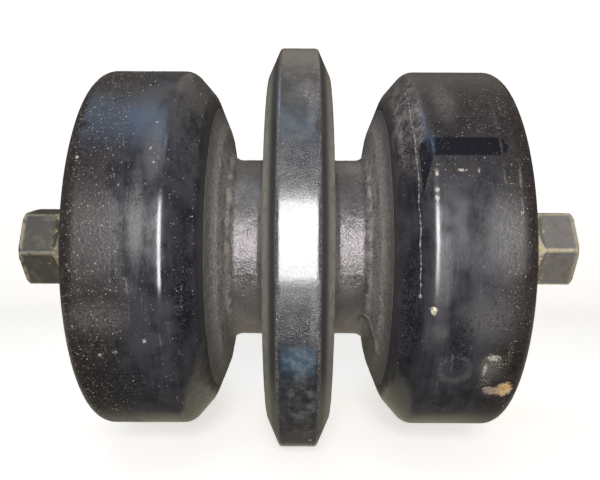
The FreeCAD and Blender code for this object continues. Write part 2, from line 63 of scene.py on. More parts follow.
def arcPoints(before, corner, after, radius, steps):
    # the points of a rounded corner between two straight runs
    a = np.array(corner, float)
    u = np.array(before, float) - a
    v = np.array(after, float) - a
    u /= np.linalg.norm(u)
    v /= np.linalg.norm(v)
    half = math.acos(max(-1, min(1, float(u @ v)))) / 2
    bisector = (u + v) / np.linalg.norm(u + v)
    centre = a + bisector * radius / math.sin(half)
    start = a + u * radius / math.tan(half) - centre
    end = a + v * radius / math.tan(half) - centre
    full = math.atan2(start[0] * end[1] - start[1] * end[0], float(start @ end))
    made = []
    for step in range(steps + 1):
        c = math.cos(full * step / steps)
        s = math.sin(full * step / steps)
        made.append(centre + np.array((start[0] * c - start[1] * s, start[0] * s + start[1] * c)))
    return made


def roundedOutline(corners, step):
    # closed outline of (along, radius, rounding) corners, cut into pieces no longer than step
    points = []
    for index, (along, radius, rounding) in enumerate(corners):
        if rounding:
            before = corners[index - 1][:2]
            after = corners[(index + 1) % len(corners)][:2]
            steps = max(3, round(rounding / step * 1.6))
            points += arcPoints(before, (along, radius), after, rounding, steps)
        else:
            points.append(np.array((along, radius), float))
    cut = []
    for index, point in enumerate(points):
        following = points[(index + 1) % len(points)]
        length = np.linalg.norm(following - point)
        here = step if max(point[1], following[1]) > 45 else step * 5
        count = max(1, round(length / here))
        cut += [point + (following - point) * k / count for k in range(count)]
    return np.array(cut)


def outlineNormals(outline):
    ahead = np.roll(outline, -1, axis=0) - outline
    behind = outline - np.roll(outline, 1, axis=0)
    ahead /= np.linalg.norm(ahead, axis=1)[:, None]
    behind /= np.linalg.norm(behind, axis=1)[:, None]
    tangent = ahead + behind
    tangent /= np.linalg.norm(tangent, axis=1)[:, None]
    normal = np.stack([-tangent[:, 1], tangent[:, 0]], axis=1)
    area = np.sum(outline[:, 0] * np.roll(outline[:, 1], -1) - np.roll(outline[:, 0], -1) * outline[:, 1])
    return normal if area < 0 else -normal


def meshPiece(name, vertices, faces, body, stands):
    # puts a mesh in the scene, riding on its body and standing for CAD nodes
    mesh = bpy.data.meshes.new(name)
    mesh.from_pydata(vertices, [], faces)
    mesh.validate()
    work = bmesh.new()
    work.from_mesh(mesh)
    bmesh.ops.recalc_face_normals(work, faces=work.faces)
    work.to_mesh(mesh)
    work.free()
    mesh.shade_smooth()
    mesh.set_sharp_from_angle(angle=math.radians(50))
    piece = bpy.data.objects.new(name, mesh)
    bpy.context.scene.collection.objects.link(piece)
    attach(piece, body)
    if stands:
        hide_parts(*stands)
    return piece


def turnedPiece(name, corners, step, around, relief, body, stands):
    # relief(along, radius, turn) gives how far the surface stands proud, in mm, for whole arrays at once
    outline = roundedOutline(corners, step)
    normals = outlineNormals(outline)
    turns = np.arange(around) * 2 * math.pi / around
    along, turn = np.meshgrid(outline[:, 0], turns, indexing="ij")
    radius = np.repeat(outline[:, 1:2], around, axis=1)
    proud = relief(along, radius, turn)
    alongOut = along + proud * normals[:, 0:1]
    radiusOut = radius + proud * normals[:, 1:2]
    vertices = np.stack([radiusOut * np.cos(turn), alongOut, radiusOut * np.sin(turn)], axis=-1) * mm
    rows = len(outline)
    faces = []
    for row in range(rows):
        below = row * around
        above = ((row + 1) % rows) * around
        for k in range(around):
            nextK = (k + 1) % around
            faces.append((below + k, above + k, above + nextK, below + nextK))
    return meshPiece(name, vertices.reshape(-1, 3).tolist(), faces, body, stands)


def lumps(x, y, z, size, octaves, seed):
    # smooth random relief about -1 to 1, lumps of that size in mm
    shift = Vector((seed * 17.3, seed * 5.1, -seed * 9.7))
    flat = zip(x.ravel(), y.ravel(), z.ravel())
    values = [noise.fractal(Vector(p) / size + shift, 1.0, 2.0, octaves) for p in flat]
    return np.array(values).reshape(x.shape)


def ramp(value, low, high):
    share = np.clip((value - low) / (high - low), 0, 1)
    return share * share * (3 - 2 * share)


def patch(along, degrees, place, turn, halfLength, halfTurn, soft=0.35):
    # 1 inside a rounded patch on a round surface, fading to 0 at its rim
    distance = np.hypot((along - place) / halfLength, (degrees - turn) / halfTurn)
    return 1 - ramp(distance, 1 - soft, 1 + soft)


# the shell's outside, shared by its pieces

shell = dict(
    treadRadius=100, shoulder=58.5, bevelRoot=(47.7, 87.5), bevelRounding=12, shoulderRounding=9,
    knee=(40, 68), kneeRounding=16, hubRadius=50.5, hubEnd=37.2, hubRounding=6, rimRounding=8,
    flangeHalf=9.75, bevelHalf=16.6, bevelRadius=97.5, rootHalf=18,
    dishFloor=68, dishRounding=6, rimInside=83, rimInsideFace=86, bossRadius=59, bossFaceRadius=57,
    bossFace=106, labyrinth=48, sealPlane=92, castLine=80,
)


def wallAt(radius):
    # where the sloping side wall of a tread stands at that radius
    rootAlong, rootRadius = shell["bevelRoot"]
    kneeAlong, kneeRadius = shell["knee"]
    return kneeAlong + (rootAlong - kneeAlong) * (radius - kneeRadius) / (rootRadius - kneeRadius)


drum = dict(step=1.3, around=440, seam=0.1, inner=70)


def drumRelief(side, marks):
    def relief(along, radius, turn):
        x = radius * np.cos(turn)
        z = radius * np.sin(turn)
        degrees = np.degrees(turn + math.pi) % 360 - 180
        outside = ramp(radius, 46, 50)
        proud = -0.05 - 0.06 * lumps(x, along, z, 26, 2, 3 + side) * outside
        for place, where, halfLength, halfTurn, depth in marks:
            proud -= depth * patch(along, degrees, side * place, where, halfLength, halfTurn)
        return np.minimum(proud, 0) * outside
    return relief


def drumCorners(side):
    # outline of one tread with its side wall, rim, dish and seal boss; side is -1 at the left, 1 at the right
    s = shell
    corners = [
        (wallAt(s["castLine"]), s["castLine"] + drum["seam"], 0.4),
        (*s["bevelRoot"], s["bevelRounding"]),
        (s["shoulder"], s["treadRadius"], s["shoulderRounding"]),
        (shellHalf, s["treadRadius"], s["rimRounding"]),
        (shellHalf, s["rimInsideFace"], 2.5),
        (s["dishFloor"], s["rimInside"], s["dishRounding"]),
        (s["dishFloor"], s["bossRadius"], s["dishRounding"]),
        (s["bossFace"], s["bossFaceRadius"], 2.5),
        (s["bossFace"], s["labyrinth"], 0.6),
        (s["sealPlane"], s["labyrinth"], 0),
        (s["sealPlane"], 44.6, 0),
        (s["sealPlane"] - 14, 41, 0),
        (s["dishFloor"] - 10, 41, 0),
        (s["dishFloor"] - 10, drum["inner"], 0),
        (wallAt(s["castLine"]) + 1.5, s["castLine"] - 1, 0),
    ]
    return [(side * along, radius, rounding) for along, radius, rounding in corners]


def makeDrum(name, side, marks):
    relief = drumRelief(side, marks)
    return turnedPiece(
        name, drumCorners(side), drum["step"], drum["around"], relief,
        "roller", ["roller_shell"],
    )


drumMarks = dict(  # (along, turn, half length, half turn, depth) of dents and chips
    left=[
        (101, 34, 3.0, 1.6, 0.35), (97, -29, 2.2, 1.5, 0.25), (103, 128, 4.0, 2.5, 0.5),
        (88, 205, 2.5, 2.2, 0.3), (104, -95, 3.0, 3.0, 0.4),
    ],
    right=[
        (98, -42.5, 6.5, 4.6, 0.55), (103, 41, 2.2, 2.0, 0.3), (61, -16, 1.2, 0.8, 0.15),
        (94, 150, 3.2, 2.4, 0.4), (103, -160, 3.0, 3.2, 0.5), (72, 96, 2.0, 1.8, 0.2),
    ],
)
leftDrum = makeDrum("leftDrum", -1, drumMarks["left"])
rightDrum = makeDrum("rightDrum", 1, drumMarks["right"])
print("drums turned")


# the bar of a wiped mark across the right tread, shared by the grit and the paint

seven = dict(turn=28.3, halfTurn=2.9, outer=90.5, outerEnd=5, inner=59.6, innerEnd=4)


# grains of sand and dried mud stuck in the paint

grit = dict(
    sunk=0.12, small=0.15, large=0.45, flat=0.6,
    rarity=7,  # the higher, the fewer large grains
    rubbedHalf=3.6, rubbedFrom=53, rubbedTo=97,  # where the wiped bar has taken grains away
    left=dict(seed=11, rubbed=0.0, bands=[  # (along from, to, radius above, how many)
        (80, 107, 90, 11500), (64, 84, 97, 2600), (48, 60, 82, 3400), (70, 107, 60, 240),
    ], heaps=[  # (along, turn, spread along, spread turn, how many)
        (53.4, -6.5, 1.5, 4.5, 150), (54, -15.9, 1.6, 3, 90), (55, 6, 1.0, 5, 40),
        (64.2, -38.1, 3.6, 4.2, 130), (47.5, 24, 0.8, 7, 70), (51, 40, 1.2, 8, 90),
        (54.5, 55, 1.6, 9, 80), (100, 24.3, 1.2, 1.0, 7),
        (57.8, 11.7, 0.5, 2.6, 26), (67, 30, 5, 8, 24), (90, 150, 6, 10, 120), (62, 215, 5, 12, 140),
        (52, 128, 2, 14, 90), (86, -120, 8, 9, 120),
    ]),
    right=dict(seed=12, rubbed=0.97, bands=[
        (83, 107, 90, 1900), (60, 84, 97, 1000), (48, 59, 84, 900), (70, 107, 60, 240),
    ], heaps=[
        (82, 9.4, 1.6, 3.2, 30), (99, 9.7, 1.4, 2.2, 20), (91, -3, 2.4, 4.4, 80), (89, -10.2, 3.6, 1.6, 46),
        (90, -31, 3.2, 2.4, 110), (88, -37, 1.2, 4, 80), (97, -27, 1.0, 5, 30), (99, -16.5, 1.6, 1.8, 26),
        (62, 15, 0.7, 5.5, 42), (100.3, 42.2, 1.6, 1.4, 22), (99, 22, 1.4, 1.3, 12), (86, 24, 1.6, 1.4, 14),
        (74, -27, 2.2, 1.2, 20), (92, 120, 6, 10, 110), (66, 190, 5, 12, 130), (84, -130, 8, 9, 120),
    ]),
)


def scatterGrit(name, side, settings):
    rng = np.random.default_rng(settings["seed"])
    outline = roundedOutline(drumCorners(side), 0.5)
    normals = outlineNormals(outline)
    outside = np.where(outline[:, 1] > 60)[0]
    picked = []
    turned = []
    for low, high, above, count in settings["bands"]:
        reach = side * outline[:, 0]
        allowed = np.where((reach > low) & (reach < high) & (outline[:, 1] > above))[0]
        picked.append(rng.choice(allowed, count))
        turned.append(rng.uniform(-180, 180, count))
    aboveSeam = outline[outside, 1] > shell["castLine"] + 1
    withinRim = side * outline[outside, 0] < shellHalf - 1
    face = outside[aboveSeam & withinRim]
    for along, turn, spreadAlong, spreadTurn, count in settings["heaps"]:
        for place in rng.normal(along, spreadAlong, count):
            picked.append([face[np.argmin(np.abs(side * outline[face, 0] - place))]])
        turned.append(rng.normal(turn, spreadTurn, count))
    rows = np.concatenate(picked)
    turn = np.concatenate(turned)
    reach = side * outline[rows, 0]
    rubbed = np.abs(turn - seven["turn"]) < grit["rubbedHalf"]
    rubbed &= (reach > grit["rubbedFrom"]) & (reach < grit["rubbedTo"])
    rubbed &= rng.random(len(rows)) < settings["rubbed"]
    rows = rows[~rubbed]
    turn = np.radians(turn[~rubbed])
    size = grit["small"] + (grit["large"] - grit["small"]) * rng.random(len(rows)) ** grit["rarity"]
    octahedron = np.array([(1, 0, 0), (-1, 0, 0), (0, 1, 0), (0, -1, 0), (0, 0, 1), (0, 0, -1)], float)
    corners = octahedron[None] * rng.uniform(0.6, 1.4, (len(rows), 6, 1))
    corners += rng.normal(0, 0.16, (len(rows), 6, 3))
    spin = rng.uniform(0, math.pi, len(rows))[:, None]
    shift = rng.uniform(-0.3, 0.3, len(rows))[:, None]
    out = corners[:, :, 2] * grit["flat"] * size[:, None] - grit["sunk"]
    sideways = (corners[:, :, 0] * np.cos(spin) - corners[:, :, 1] * np.sin(spin)) * size[:, None]
    down = (corners[:, :, 0] * np.sin(spin) + corners[:, :, 1] * np.cos(spin)) * size[:, None] + shift
    normal = normals[rows]
    along = outline[rows, 0][:, None] + out * normal[:, 0:1] - down * normal[:, 1:2]
    radius = outline[rows, 1][:, None] + out * normal[:, 1:2] + down * normal[:, 0:1]
    turns = turn[:, None] + sideways / radius
    vertices = np.stack([radius * np.cos(turns), along, radius * np.sin(turns)], axis=-1) * mm
    eight = ((0, 2, 4), (2, 1, 4), (1, 3, 4), (3, 0, 4), (2, 0, 5), (1, 2, 5), (3, 1, 5), (0, 3, 5))
    faces = [tuple(6 * k + corner for corner in three) for k in range(len(rows)) for three in eight]
    return meshPiece(name, vertices.reshape(-1, 3).tolist(), faces, "roller", ["roller_shell"])


leftGrit = scatterGrit("leftGrit", -1, grit["left"])
rightGrit = scatterGrit("rightGrit", 1, grit["right"])
print("grit stuck on")


# runs of thick paint: a ragged bead on the right drum's slope, and a dried drop on its shoulder

bead = dict(
    along=54.6, sway=0.7, radius=93, startTurn=-13.5, endTurn=60, step=0.35, around=8,
    thick=0.3, ragged=0.5, tipLength=2.2, tipThick=0.95,
)


def coneRadius(along):
    # radius of a tread's sloping shoulder at that place along the shaft
    rootAlong, rootRadius = shell["bevelRoot"]
    length = shell["shoulder"] - rootAlong
    return rootRadius + (along - rootAlong) * (shell["treadRadius"] - rootRadius) / length


def makeBead():
    b = bead
    around = b["around"]
    vertices = []
    turns = np.arange(b["startTurn"], b["endTurn"], b["step"])
    rootAlong, rootRadius = shell["bevelRoot"]
    slope = math.atan2(shell["treadRadius"] - rootRadius, shell["shoulder"] - rootAlong)
    outAlong = -math.sin(slope)
    outRadius = math.cos(slope)
    for turn in turns:
        sway = noise.noise(Vector((turn / 9, 4.1, 0))) * b["sway"]
        sway += 0.3 * noise.noise(Vector((turn / 2.2, 8.3, 0)))
        along = b["along"] + sway - 0.012 * turn
        lump = noise.noise(Vector((turn * 1.15, 0.7, 2.0)))
        lump += 0.5 * noise.noise(Vector((turn * 3.1, 5.7, 1.0)))
        thick = b["thick"] + b["ragged"] * lump
        fromTip = (turn - b["startTurn"]) * math.radians(1) * b["radius"]
        tipHalf = b["tipLength"] / 2
        thick += (b["tipThick"] - b["thick"]) * math.exp(-((fromTip - tipHalf) / tipHalf) ** 2)
        thick *= min(1, 0.35 + fromTip / 1.2) * min(1, (b["endTurn"] - turn) / 3 + 0.05)
        thick = max(0.03, thick)
        radius = coneRadius(along) - 0.1
        for k in range(around):
            angle = 2 * math.pi * k / around
            wide = math.cos(angle) * thick
            high = math.sin(angle) * thick * 0.75
            a = along + wide * math.cos(slope) + high * outAlong
            r = radius + wide * math.sin(slope) + high * outRadius
            t = math.radians(turn)
            vertices.append((r * math.cos(t) * mm, a * mm, r * math.sin(t) * mm))
    faces = []
    for row in range(len(turns) - 1):
        for k in range(around):
            low = row * around
            nextK = (k + 1) % around
            faces.append((low + k, low + around + k, low + around + nextK, low + nextK))
    faces.append(tuple(range(around)))
    faces.append(tuple((len(turns) - 1) * around + k for k in range(around)))
    return meshPiece("paintBead", vertices, faces, "roller", ["roller_shell"])


drop = dict(along=60.6, turn=-15.8, radius=1.7, height=0.8, tail=0.9, rings=9, around=28, lump=0.22)


def makeDrop():
    # a blob of pale filler, thicker at one side and running down a little
    d = drop
    vertices = []
    for ring in range(d["rings"] + 1):
        share = ring / d["rings"]
        for k in range(d["around"]):
            angle = 2 * math.pi * k / d["around"]
            uneven = noise.noise(Vector((math.cos(angle), math.sin(angle), 3.3)) * 1.6)
            edge = d["radius"] * (1 + d["lump"] * uneven)
            edge += d["tail"] * max(0, math.sin(-angle)) ** 6
            across = edge * share * math.cos(angle)
            down = edge * share * math.sin(angle)
            rough = 0.3 * noise.noise(Vector((across * 1.3, down * 1.3, 7.7)))
            high = d["height"] * math.sqrt(max(0, 1 - share ** 2)) * (1 + rough) - 0.25
            along = d["along"] + across
            turn = math.radians(d["turn"]) + down / shell["treadRadius"]
            radius = min(coneRadius(along) + 0.4, shell["treadRadius"]) + high - (0.3 if share == 1 else 0)
            vertices.append((radius * math.cos(turn) * mm, along * mm, radius * math.sin(turn) * mm))
    faces = []
    for ring in range(d["rings"]):
        for k in range(d["around"]):
            low = ring * d["around"]
            nextK = (k + 1) % d["around"]
            faces.append((low + k, low + nextK, low + d["around"] + nextK, low + d["around"] + k))
    faces.append(tuple(d["rings"] * d["around"] + k for k in range(d["around"])))
    return meshPiece("paintDrop", vertices, faces, "roller", ["roller_shell"])


paintBead = makeBead()
paintDrop = makeDrop()
print("paint runs laid")


castBody = dict(
    step=1.15, around=360, skin=0.3, pebble=3.2, pebbleHeight=0.16, wave=24, waveHeight=0.22, lineHeight=0.16,
    mouldLines=(-16, 164), lineWidth=0.9, sagHeight=0.55, sagWidth=1.1,
    sag=(  # (along, turn) down the run
        (32.6, -53), (32.9, -48.5), (35, -46), (38.2, -45), (40, -46.6), (41.2, -51),
    ),
)


def sagRelief(along, degrees, radius):
    # a run of thick paint that hangs in a hook
    height = np.zeros(along.shape)
    for (alongA, turnA), (alongB, turnB) in zip(castBody["sag"], castBody["sag"][1:]):
        for share in np.linspace(0, 1, 7):
            a = along - alongA - (alongB - alongA) * share
            b = np.radians(degrees - turnA - (turnB - turnA) * share) * radius
            height = np.maximum(height, np.exp(-(a * a + b * b) / castBody["sagWidth"] ** 2))
    return height * castBody["sagHeight"]


def castRelief(along, radius, turn):
    # sand-cast skin: pebbles on long soft waves, with the two faint lines where the mould parted
    x = radius * np.cos(turn)
    z = radius * np.sin(turn)
    degrees = np.degrees(turn)
    outside = ramp(radius, 46, 49.5)
    fade = 1 - ramp(radius, shell["castLine"] - 4, shell["castLine"])
    pebbles = lumps(x, along, z, castBody["pebble"], 3, 1) * castBody["pebbleHeight"]
    waves = lumps(x, along, z, castBody["wave"], 2, 2) * castBody["waveHeight"]
    line = np.zeros(along.shape)
    for where in castBody["mouldLines"]:
        off = (degrees - where + 180) % 360 - 180
        line += np.exp(-(off / castBody["lineWidth"]) ** 2)
    proud = pebbles + waves * fade + line * castBody["lineHeight"] * fade
    proud -= castBody["skin"] * (1 - fade) * 0.5
    return (proud + sagRelief(along, (degrees + 180) % 360 - 180, radius)) * outside


def makeCastBody():
    # the rough core between the treads, which the flange and the two drums are finished out of
    s = shell
    half = [
        (s["rootHalf"] - 4, 44, 0),
        (s["rootHalf"] - 4, s["hubRadius"] + 1.5, 0),
        (s["rootHalf"] + 0.5, s["hubRadius"] + 1.2, 0),
        (s["rootHalf"] + 3.4, s["hubRadius"], 2.6),
        (s["hubEnd"], s["hubRadius"], s["hubRounding"]),
        (*s["knee"], s["kneeRounding"]),
        (wallAt(s["castLine"]), s["castLine"], 0.3),
        (wallAt(s["castLine"]) + 6, s["castLine"] - 2, 0),
        (wallAt(s["castLine"]) + 6, 60, 0),
        (s["hubEnd"] + 8, 34, 0),
    ]
    mirrored = [(-along, radius, rounding) for along, radius, rounding in reversed(half)]
    corners = mirrored + half
    return turnedPiece(
        "castBody", corners, castBody["step"], castBody["around"], castRelief,
        "roller", ["roller_shell"],
    )


castPiece = makeCastBody()
print("cast body turned")


flange = dict(step=1.0, around=496, rimRounding=2, bevelRounding=4)
flangeNicks = [  # (along, turn, half length, half turn, depth) on the flange's edges
    (9.5, 29, 1.4, 1.3, 0.5), (-9.6, 52, 1.2, 1.0, 0.35), (9.8, -18, 1.0, 0.9, 0.3),
    (-9.9, -9, 1.5, 0.7, 0.3), (-9.4, 95, 2.0, 1.6, 0.6), (9.6, 140, 1.6, 1.8, 0.6),
    (-9.8, 188, 1.5, 1.2, 0.45), (9.9, 251, 2.0, 1.5, 0.5), (9.7, -55, 1.3, 0.8, 0.4),
    (-9.5, -38, 1.2, 1.0, 0.4),
]


def flangeRelief(along, radius, turn):
    x = radius * np.cos(turn)
    z = radius * np.sin(turn)
    degrees = np.degrees(turn + math.pi) % 360 - 180
    proud = -0.1 - 0.1 * np.abs(lumps(x, along, z, 9, 3, 7))
    for place, where, halfLength, halfTurn, depth in flangeNicks:
        where = (where + 180) % 360 - 180
        nick = depth * patch(along, degrees, place, where, halfLength, halfTurn)
        proud = proud - nick * ramp(radius, 104, 111)
    side = 1 - ramp(radius, 90, 97)
    return (proud + 0.22 * lumps(x, along, z, 4, 3, 9) * side) * ramp(radius, 44, 48)


def makeFlange():
    s = shell
    half = [
        (s["rootHalf"], 46, 0),
        (s["rootHalf"], s["hubRadius"], 0),
        (s["bevelHalf"], s["bevelRadius"], flange["bevelRounding"]),
        (s["flangeHalf"], flangeRadius, flange["rimRounding"]),
    ]
    mirrored = [(-along, radius, rounding) for along, radius, rounding in reversed(half)]
    return turnedPiece(
        "centreFlange", half + mirrored, flange["step"], flange["around"], flangeRelief,
        "roller", ["roller_shell"],
    )


centreFlange = makeFlange()
print("flange turned")


# the shaft: one closed skin with milled hexagonal ends and cut threads

shaft = dict(
    around=240, journal=25, turned=23.25, shoulder=75.3, hexFlat=20.5, hexLength=19, runout=3.5,
    hexTurn=dict(left=20, right=27), chamfer=1.2, tapRadius=8.75, threadDepth=1.2, pitch=2.5,
    tapDepth=34, mouth=2, plugRadius=7, plugSeat=14, threadEnd=29, edgeSoft=0.45,
    mouthStep=0.25, threadStep=0.3125,
)


def softMin(a, b, soft):
    # the smaller of two, with the corner between them worn round
    share = np.clip(0.5 + (b - a) / (2 * soft), 0, 1)
    return b + (a - b) * share - soft * share * (1 - share)


def hexRadius(depth, turn, start):
    # radius of the milled hexagon at a depth in from the shaft's end
    sixth = math.pi / 3
    fromFlat = (turn - start + sixth / 2) % sixth - sixth / 2
    rise = np.clip((depth - shaft["hexLength"]) / shaft["runout"], 0, 6)
    flat = shaft["hexFlat"] + rise * (shaft["turned"] - shaft["hexFlat"])
    return flat / np.cos(fromFlat)


def shaftEndRows(side):
    # (along, radius, kind) rows from the journal out over the end face and down the tapped hole
    s = shaft
    end = shaftHalf
    rows = [(s["shoulder"], s["journal"], "bar")]
    rows += [(along, s["turned"], "bar") for along in (s["shoulder"], 120)]
    rows += [(along, s["turned"], "hex") for along in np.arange(128, end - s["chamfer"], 0.7)]
    rows += [(end - s["chamfer"] + k * 0.4, s["turned"] - k * 0.4, "hex") for k in range(4)]
    rows += [(end, radius, "face") for radius in (20, 18.6, 17, 15.2, 13.4, 11.9)]
    mouthRadius = s["tapRadius"] + s["mouth"]
    rows += [(end, mouthRadius, "hole")]
    depths = np.arange(s["mouthStep"], s["mouth"] + 0.01, s["mouthStep"])
    rows += [(end - depth, mouthRadius - depth, "thread") for depth in depths]
    threadEnd = end - s["threadEnd"]
    turnsOfThread = np.arange(end - s["mouth"] - s["mouthStep"], threadEnd, -s["threadStep"])
    rows += [(along, s["tapRadius"], "thread") for along in turnsOfThread]
    floor = end - s["tapDepth"]
    rows += [(floor, s["tapRadius"], "hole")]
    if side > 0:
        rows += [(floor, s["plugRadius"], "hole"), (floor - s["plugSeat"], s["plugRadius"], "hole")]
        rows += [(floor - s["plugSeat"], 0.4, "hole")]
    else:
        rows += [(floor - s["tapRadius"] / 2, 0.4, "hole")]
    return rows


def makeShaft():
    s = shaft
    around = s["around"]
    turns = np.arange(around) * 2 * math.pi / around
    right = [(along, radius, kind, 1) for along, radius, kind in shaftEndRows(1)]
    left = [(-along, radius, kind, -1) for along, radius, kind in shaftEndRows(-1)]
    vertices = []
    for along, radius, kind, side in list(reversed(left)) + right:
        ring = np.full(around, float(radius))
        depth = shaftHalf - abs(along)
        if kind in ("hex", "face"):
            start = math.radians(s["hexTurn"]["right" if side > 0 else "left"])
            ring = softMin(ring, hexRadius(depth, turns, start) + (0 if kind == "hex" else 9), s["edgeSoft"])
        x = ring * np.cos(turns)
        z = ring * np.sin(turns)
        if kind in ("hex", "face"):
            rough = lumps(x, np.full(around, along), z, 5, 3, 21 + side)
            ring -= 0.05 + 0.09 * np.abs(rough)
        if kind == "thread":
            phase = (along * side / s["pitch"] + side * turns / (2 * math.pi)) % 1
            wave = 1 - np.abs(phase * 2 - 1)
            inHole = ring < s["tapRadius"] + s["threadDepth"]
            ring += s["threadDepth"] * np.clip(wave * 1.3 - 0.15, 0, 1) * inHole
        vertices += [(r * math.cos(t) * mm, along * mm, r * math.sin(t) * mm) for r, t in zip(ring, turns)]
    rows = len(left) + len(right)
    faces = []
    for row in range(rows - 1):
        for k in range(around):
            nextK = (k + 1) % around
            low = row * around
            faces.append((low + k, low + around + k, low + around + nextK, low + nextK))
    faces.append(tuple(range(around)))
    faces.append(tuple((rows - 1) * around + k for k in range(around)))
    return meshPiece("shaftBar", vertices, faces, "shaft", ["shaft"])


shaftPiece = makeShaft()
print("shaft made")


# material tools

def addNode(tree, kind, inputs=None, **settings):
    made = tree.nodes.new("ShaderNode" + kind)
    for key, value in settings.items():
        setattr(made, key, value)
    for key, value in (inputs or {}).items():
        feed(tree, made.inputs[key], value)
    return made


def feed(tree, socket, value):
    if isinstance(value, bpy.types.NodeSocket):
        tree.links.new(value, socket)
    elif hasattr(socket.default_value, "__len__") and len(socket.default_value) == 4 and len(value) == 3:
        socket.default_value = (*value, 1)
    else:
        socket.default_value = value


class Look:
    # one material, with the places on the part that its patterns need

    def __init__(self, name):
        self.material = bpy.data.materials.new(name)
        self.material.use_nodes = True
        self.tree = self.material.node_tree
        self.shader = self.tree.nodes["Principled BSDF"]
        coordinates = addNode(self.tree, "TexCoord").outputs["Object"]
        self.place = self.vector("SCALE", {0: coordinates, "Scale": 1 / mm})
        split = addNode(self.tree, "SeparateXYZ", {0: self.place})
        x, self.along, z = split.outputs
        self.turn = self.math("MULTIPLY", self.math("ARCTAN2", z, x), math.degrees(1))
        self.radius = self.hypot(x, z)
        # squeezed along the shaft, so its patterns run round the part
        squeezed = {0: x, 1: self.math("MULTIPLY", self.along, 9), 2: z}
        self.ringPlace = addNode(self.tree, "CombineXYZ", squeezed).outputs[0]

    def math(self, operation, a, b=0.0):
        return addNode(self.tree, "Math", {0: a, 1: b}, operation=operation).outputs[0]

    def vector(self, operation, inputs):
        return addNode(self.tree, "VectorMath", inputs, operation=operation).outputs[0]

    def add(self, a, b):
        return self.math("ADD", a, b)

    def hypot(self, a, b):
        return self.math("SQRT", self.add(self.math("MULTIPLY", a, a), self.math("MULTIPLY", b, b)))

    def times(self, *values):
        product = values[0]
        for value in values[1:]:
            product = self.math("MULTIPLY", product, value)
        return product

    def most(self, a, b):
        return self.math("MAXIMUM", a, b)

    def fade(self, value, low, high):
        # 0 below low, 1 above high; the other way round where low is the larger
        flip = low > high
        inputs = {"Value": value, "From Min": min(low, high), "From Max": max(low, high)}
        inputs.update({"To Min": float(flip), "To Max": float(not flip)})
        return addNode(self.tree, "MapRange", inputs, interpolation_type="SMOOTHSTEP").outputs[0]

    def cloud(self, size, detail=4, roughness=0.55, where=None, warp=0.0):
        inputs = {"Vector": where or self.place, "Scale": 1 / size, "Detail": detail, "Roughness": roughness}
        return addNode(self.tree, "TexNoise", {**inputs, "Distortion": warp}).outputs[0]

    def dots(self, spacing, size, share, where=None):
        # scattered round dots of differing sizes: share of the cells hold one
        inputs = {"Vector": where or self.place, "Scale": 1 / spacing, "Randomness": 1.0}
        cells = addNode(self.tree, "TexVoronoi", inputs)
        pick = addNode(self.tree, "SeparateColor", {0: cells.outputs["Color"]})
        limit = self.times(pick.outputs[1], size / spacing)
        inside = self.math("LESS_THAN", cells.outputs["Distance"], limit)
        return self.times(inside, self.math("GREATER_THAN", pick.outputs[0], 1 - share))

    def shaken(self, size, amount):
        # the place pushed about, so that what is drawn with it has ragged edges
        inputs = {"Vector": self.place, "Scale": 1 / size, "Detail": 2.0}
        push = addNode(self.tree, "TexNoise", inputs).outputs[1]
        centred = self.vector("SUBTRACT", {0: push, 1: (0.5, 0.5, 0.5)})
        scaled = self.vector("SCALE", {0: centred, "Scale": amount})
        return self.vector("ADD", {0: self.place, 1: scaled})

    def scaled(self, value, factor, shift):
        inputs = {0: value, 1: factor, 2: shift}
        return addNode(self.tree, "Math", inputs, operation="MULTIPLY_ADD").outputs[0]

    def away(self, along, turn, halfLength, halfTurn):
        # distance from a place on a round face, 1 at the rim of an oval of that size
        a = self.scaled(self.along, 1 / halfLength, -along / halfLength)
        b = self.scaled(self.turn, 1 / halfTurn, -turn / halfTurn)
        return self.hypot(a, b)

    def spots(self, places, side=1, ragged=0.9, soft=0.25):
        # ovals (along, turn, half length, half turn) with ragged rims
        shake = self.scaled(self.cloud(1.3, 3, 0.6), ragged, -ragged / 2)
        covered = None
        for along, turn, halfLength, halfTurn in places:
            distance = self.add(self.away(side * along, turn, halfLength, halfTurn), shake)
            spot = self.fade(distance, 1 + soft, 1 - soft)
            covered = spot if covered is None else self.most(covered, spot)
        return covered

    def strokes(self, places, side=1, sway=1.6):
        # thin lines round the part: (along, turn from, turn to, half width, slant along per degree)
        shake = self.scaled(self.cloud(9, 3, 0.55), sway, -sway / 2)
        fadeOut = 2.5  # degrees either side of a line's end
        covered = None
        for along, low, high, half, slant in places:
            off = self.add(self.scaled(self.along, side, -along), shake)
            slanted = self.scaled(self.turn, -slant, slant * (low + high) / 2)
            off = self.math("ABSOLUTE", self.add(off, slanted))
            inside = self.fade(off, half * 1.6, half * 0.4)
            inside = self.times(inside, self.fade(self.turn, low - fadeOut, low + fadeOut))
            inside = self.times(inside, self.fade(self.turn, high + fadeOut, high - fadeOut))
            covered = inside if covered is None else self.most(covered, inside)
        return covered

    def blend(self, share, under, over):
        mix = addNode(self.tree, "Mix", data_type="RGBA")
        feed(self.tree, mix.inputs[0], share)
        feed(self.tree, mix.inputs[6], under)
        feed(self.tree, mix.inputs[7], over)
        return mix.outputs[2]

    def shadeOf(self, colour, factor):
        return tuple(channel * factor for channel in colour)

    def level(self, share, under, over):
        mix = addNode(self.tree, "Mix", data_type="FLOAT")
        feed(self.tree, mix.inputs[0], share)
        feed(self.tree, mix.inputs[2], under)
        feed(self.tree, mix.inputs[3], over)
        return mix.outputs[0]

    def bump(self, height, depth, below=None):
        # depth is the height of a full step, in mm
        inputs = {"Height": height, "Distance": depth * mm, "Strength": 1.0}
        if below is not None:
            inputs["Normal"] = below
        return addNode(self.tree, "Bump", inputs).outputs[0]

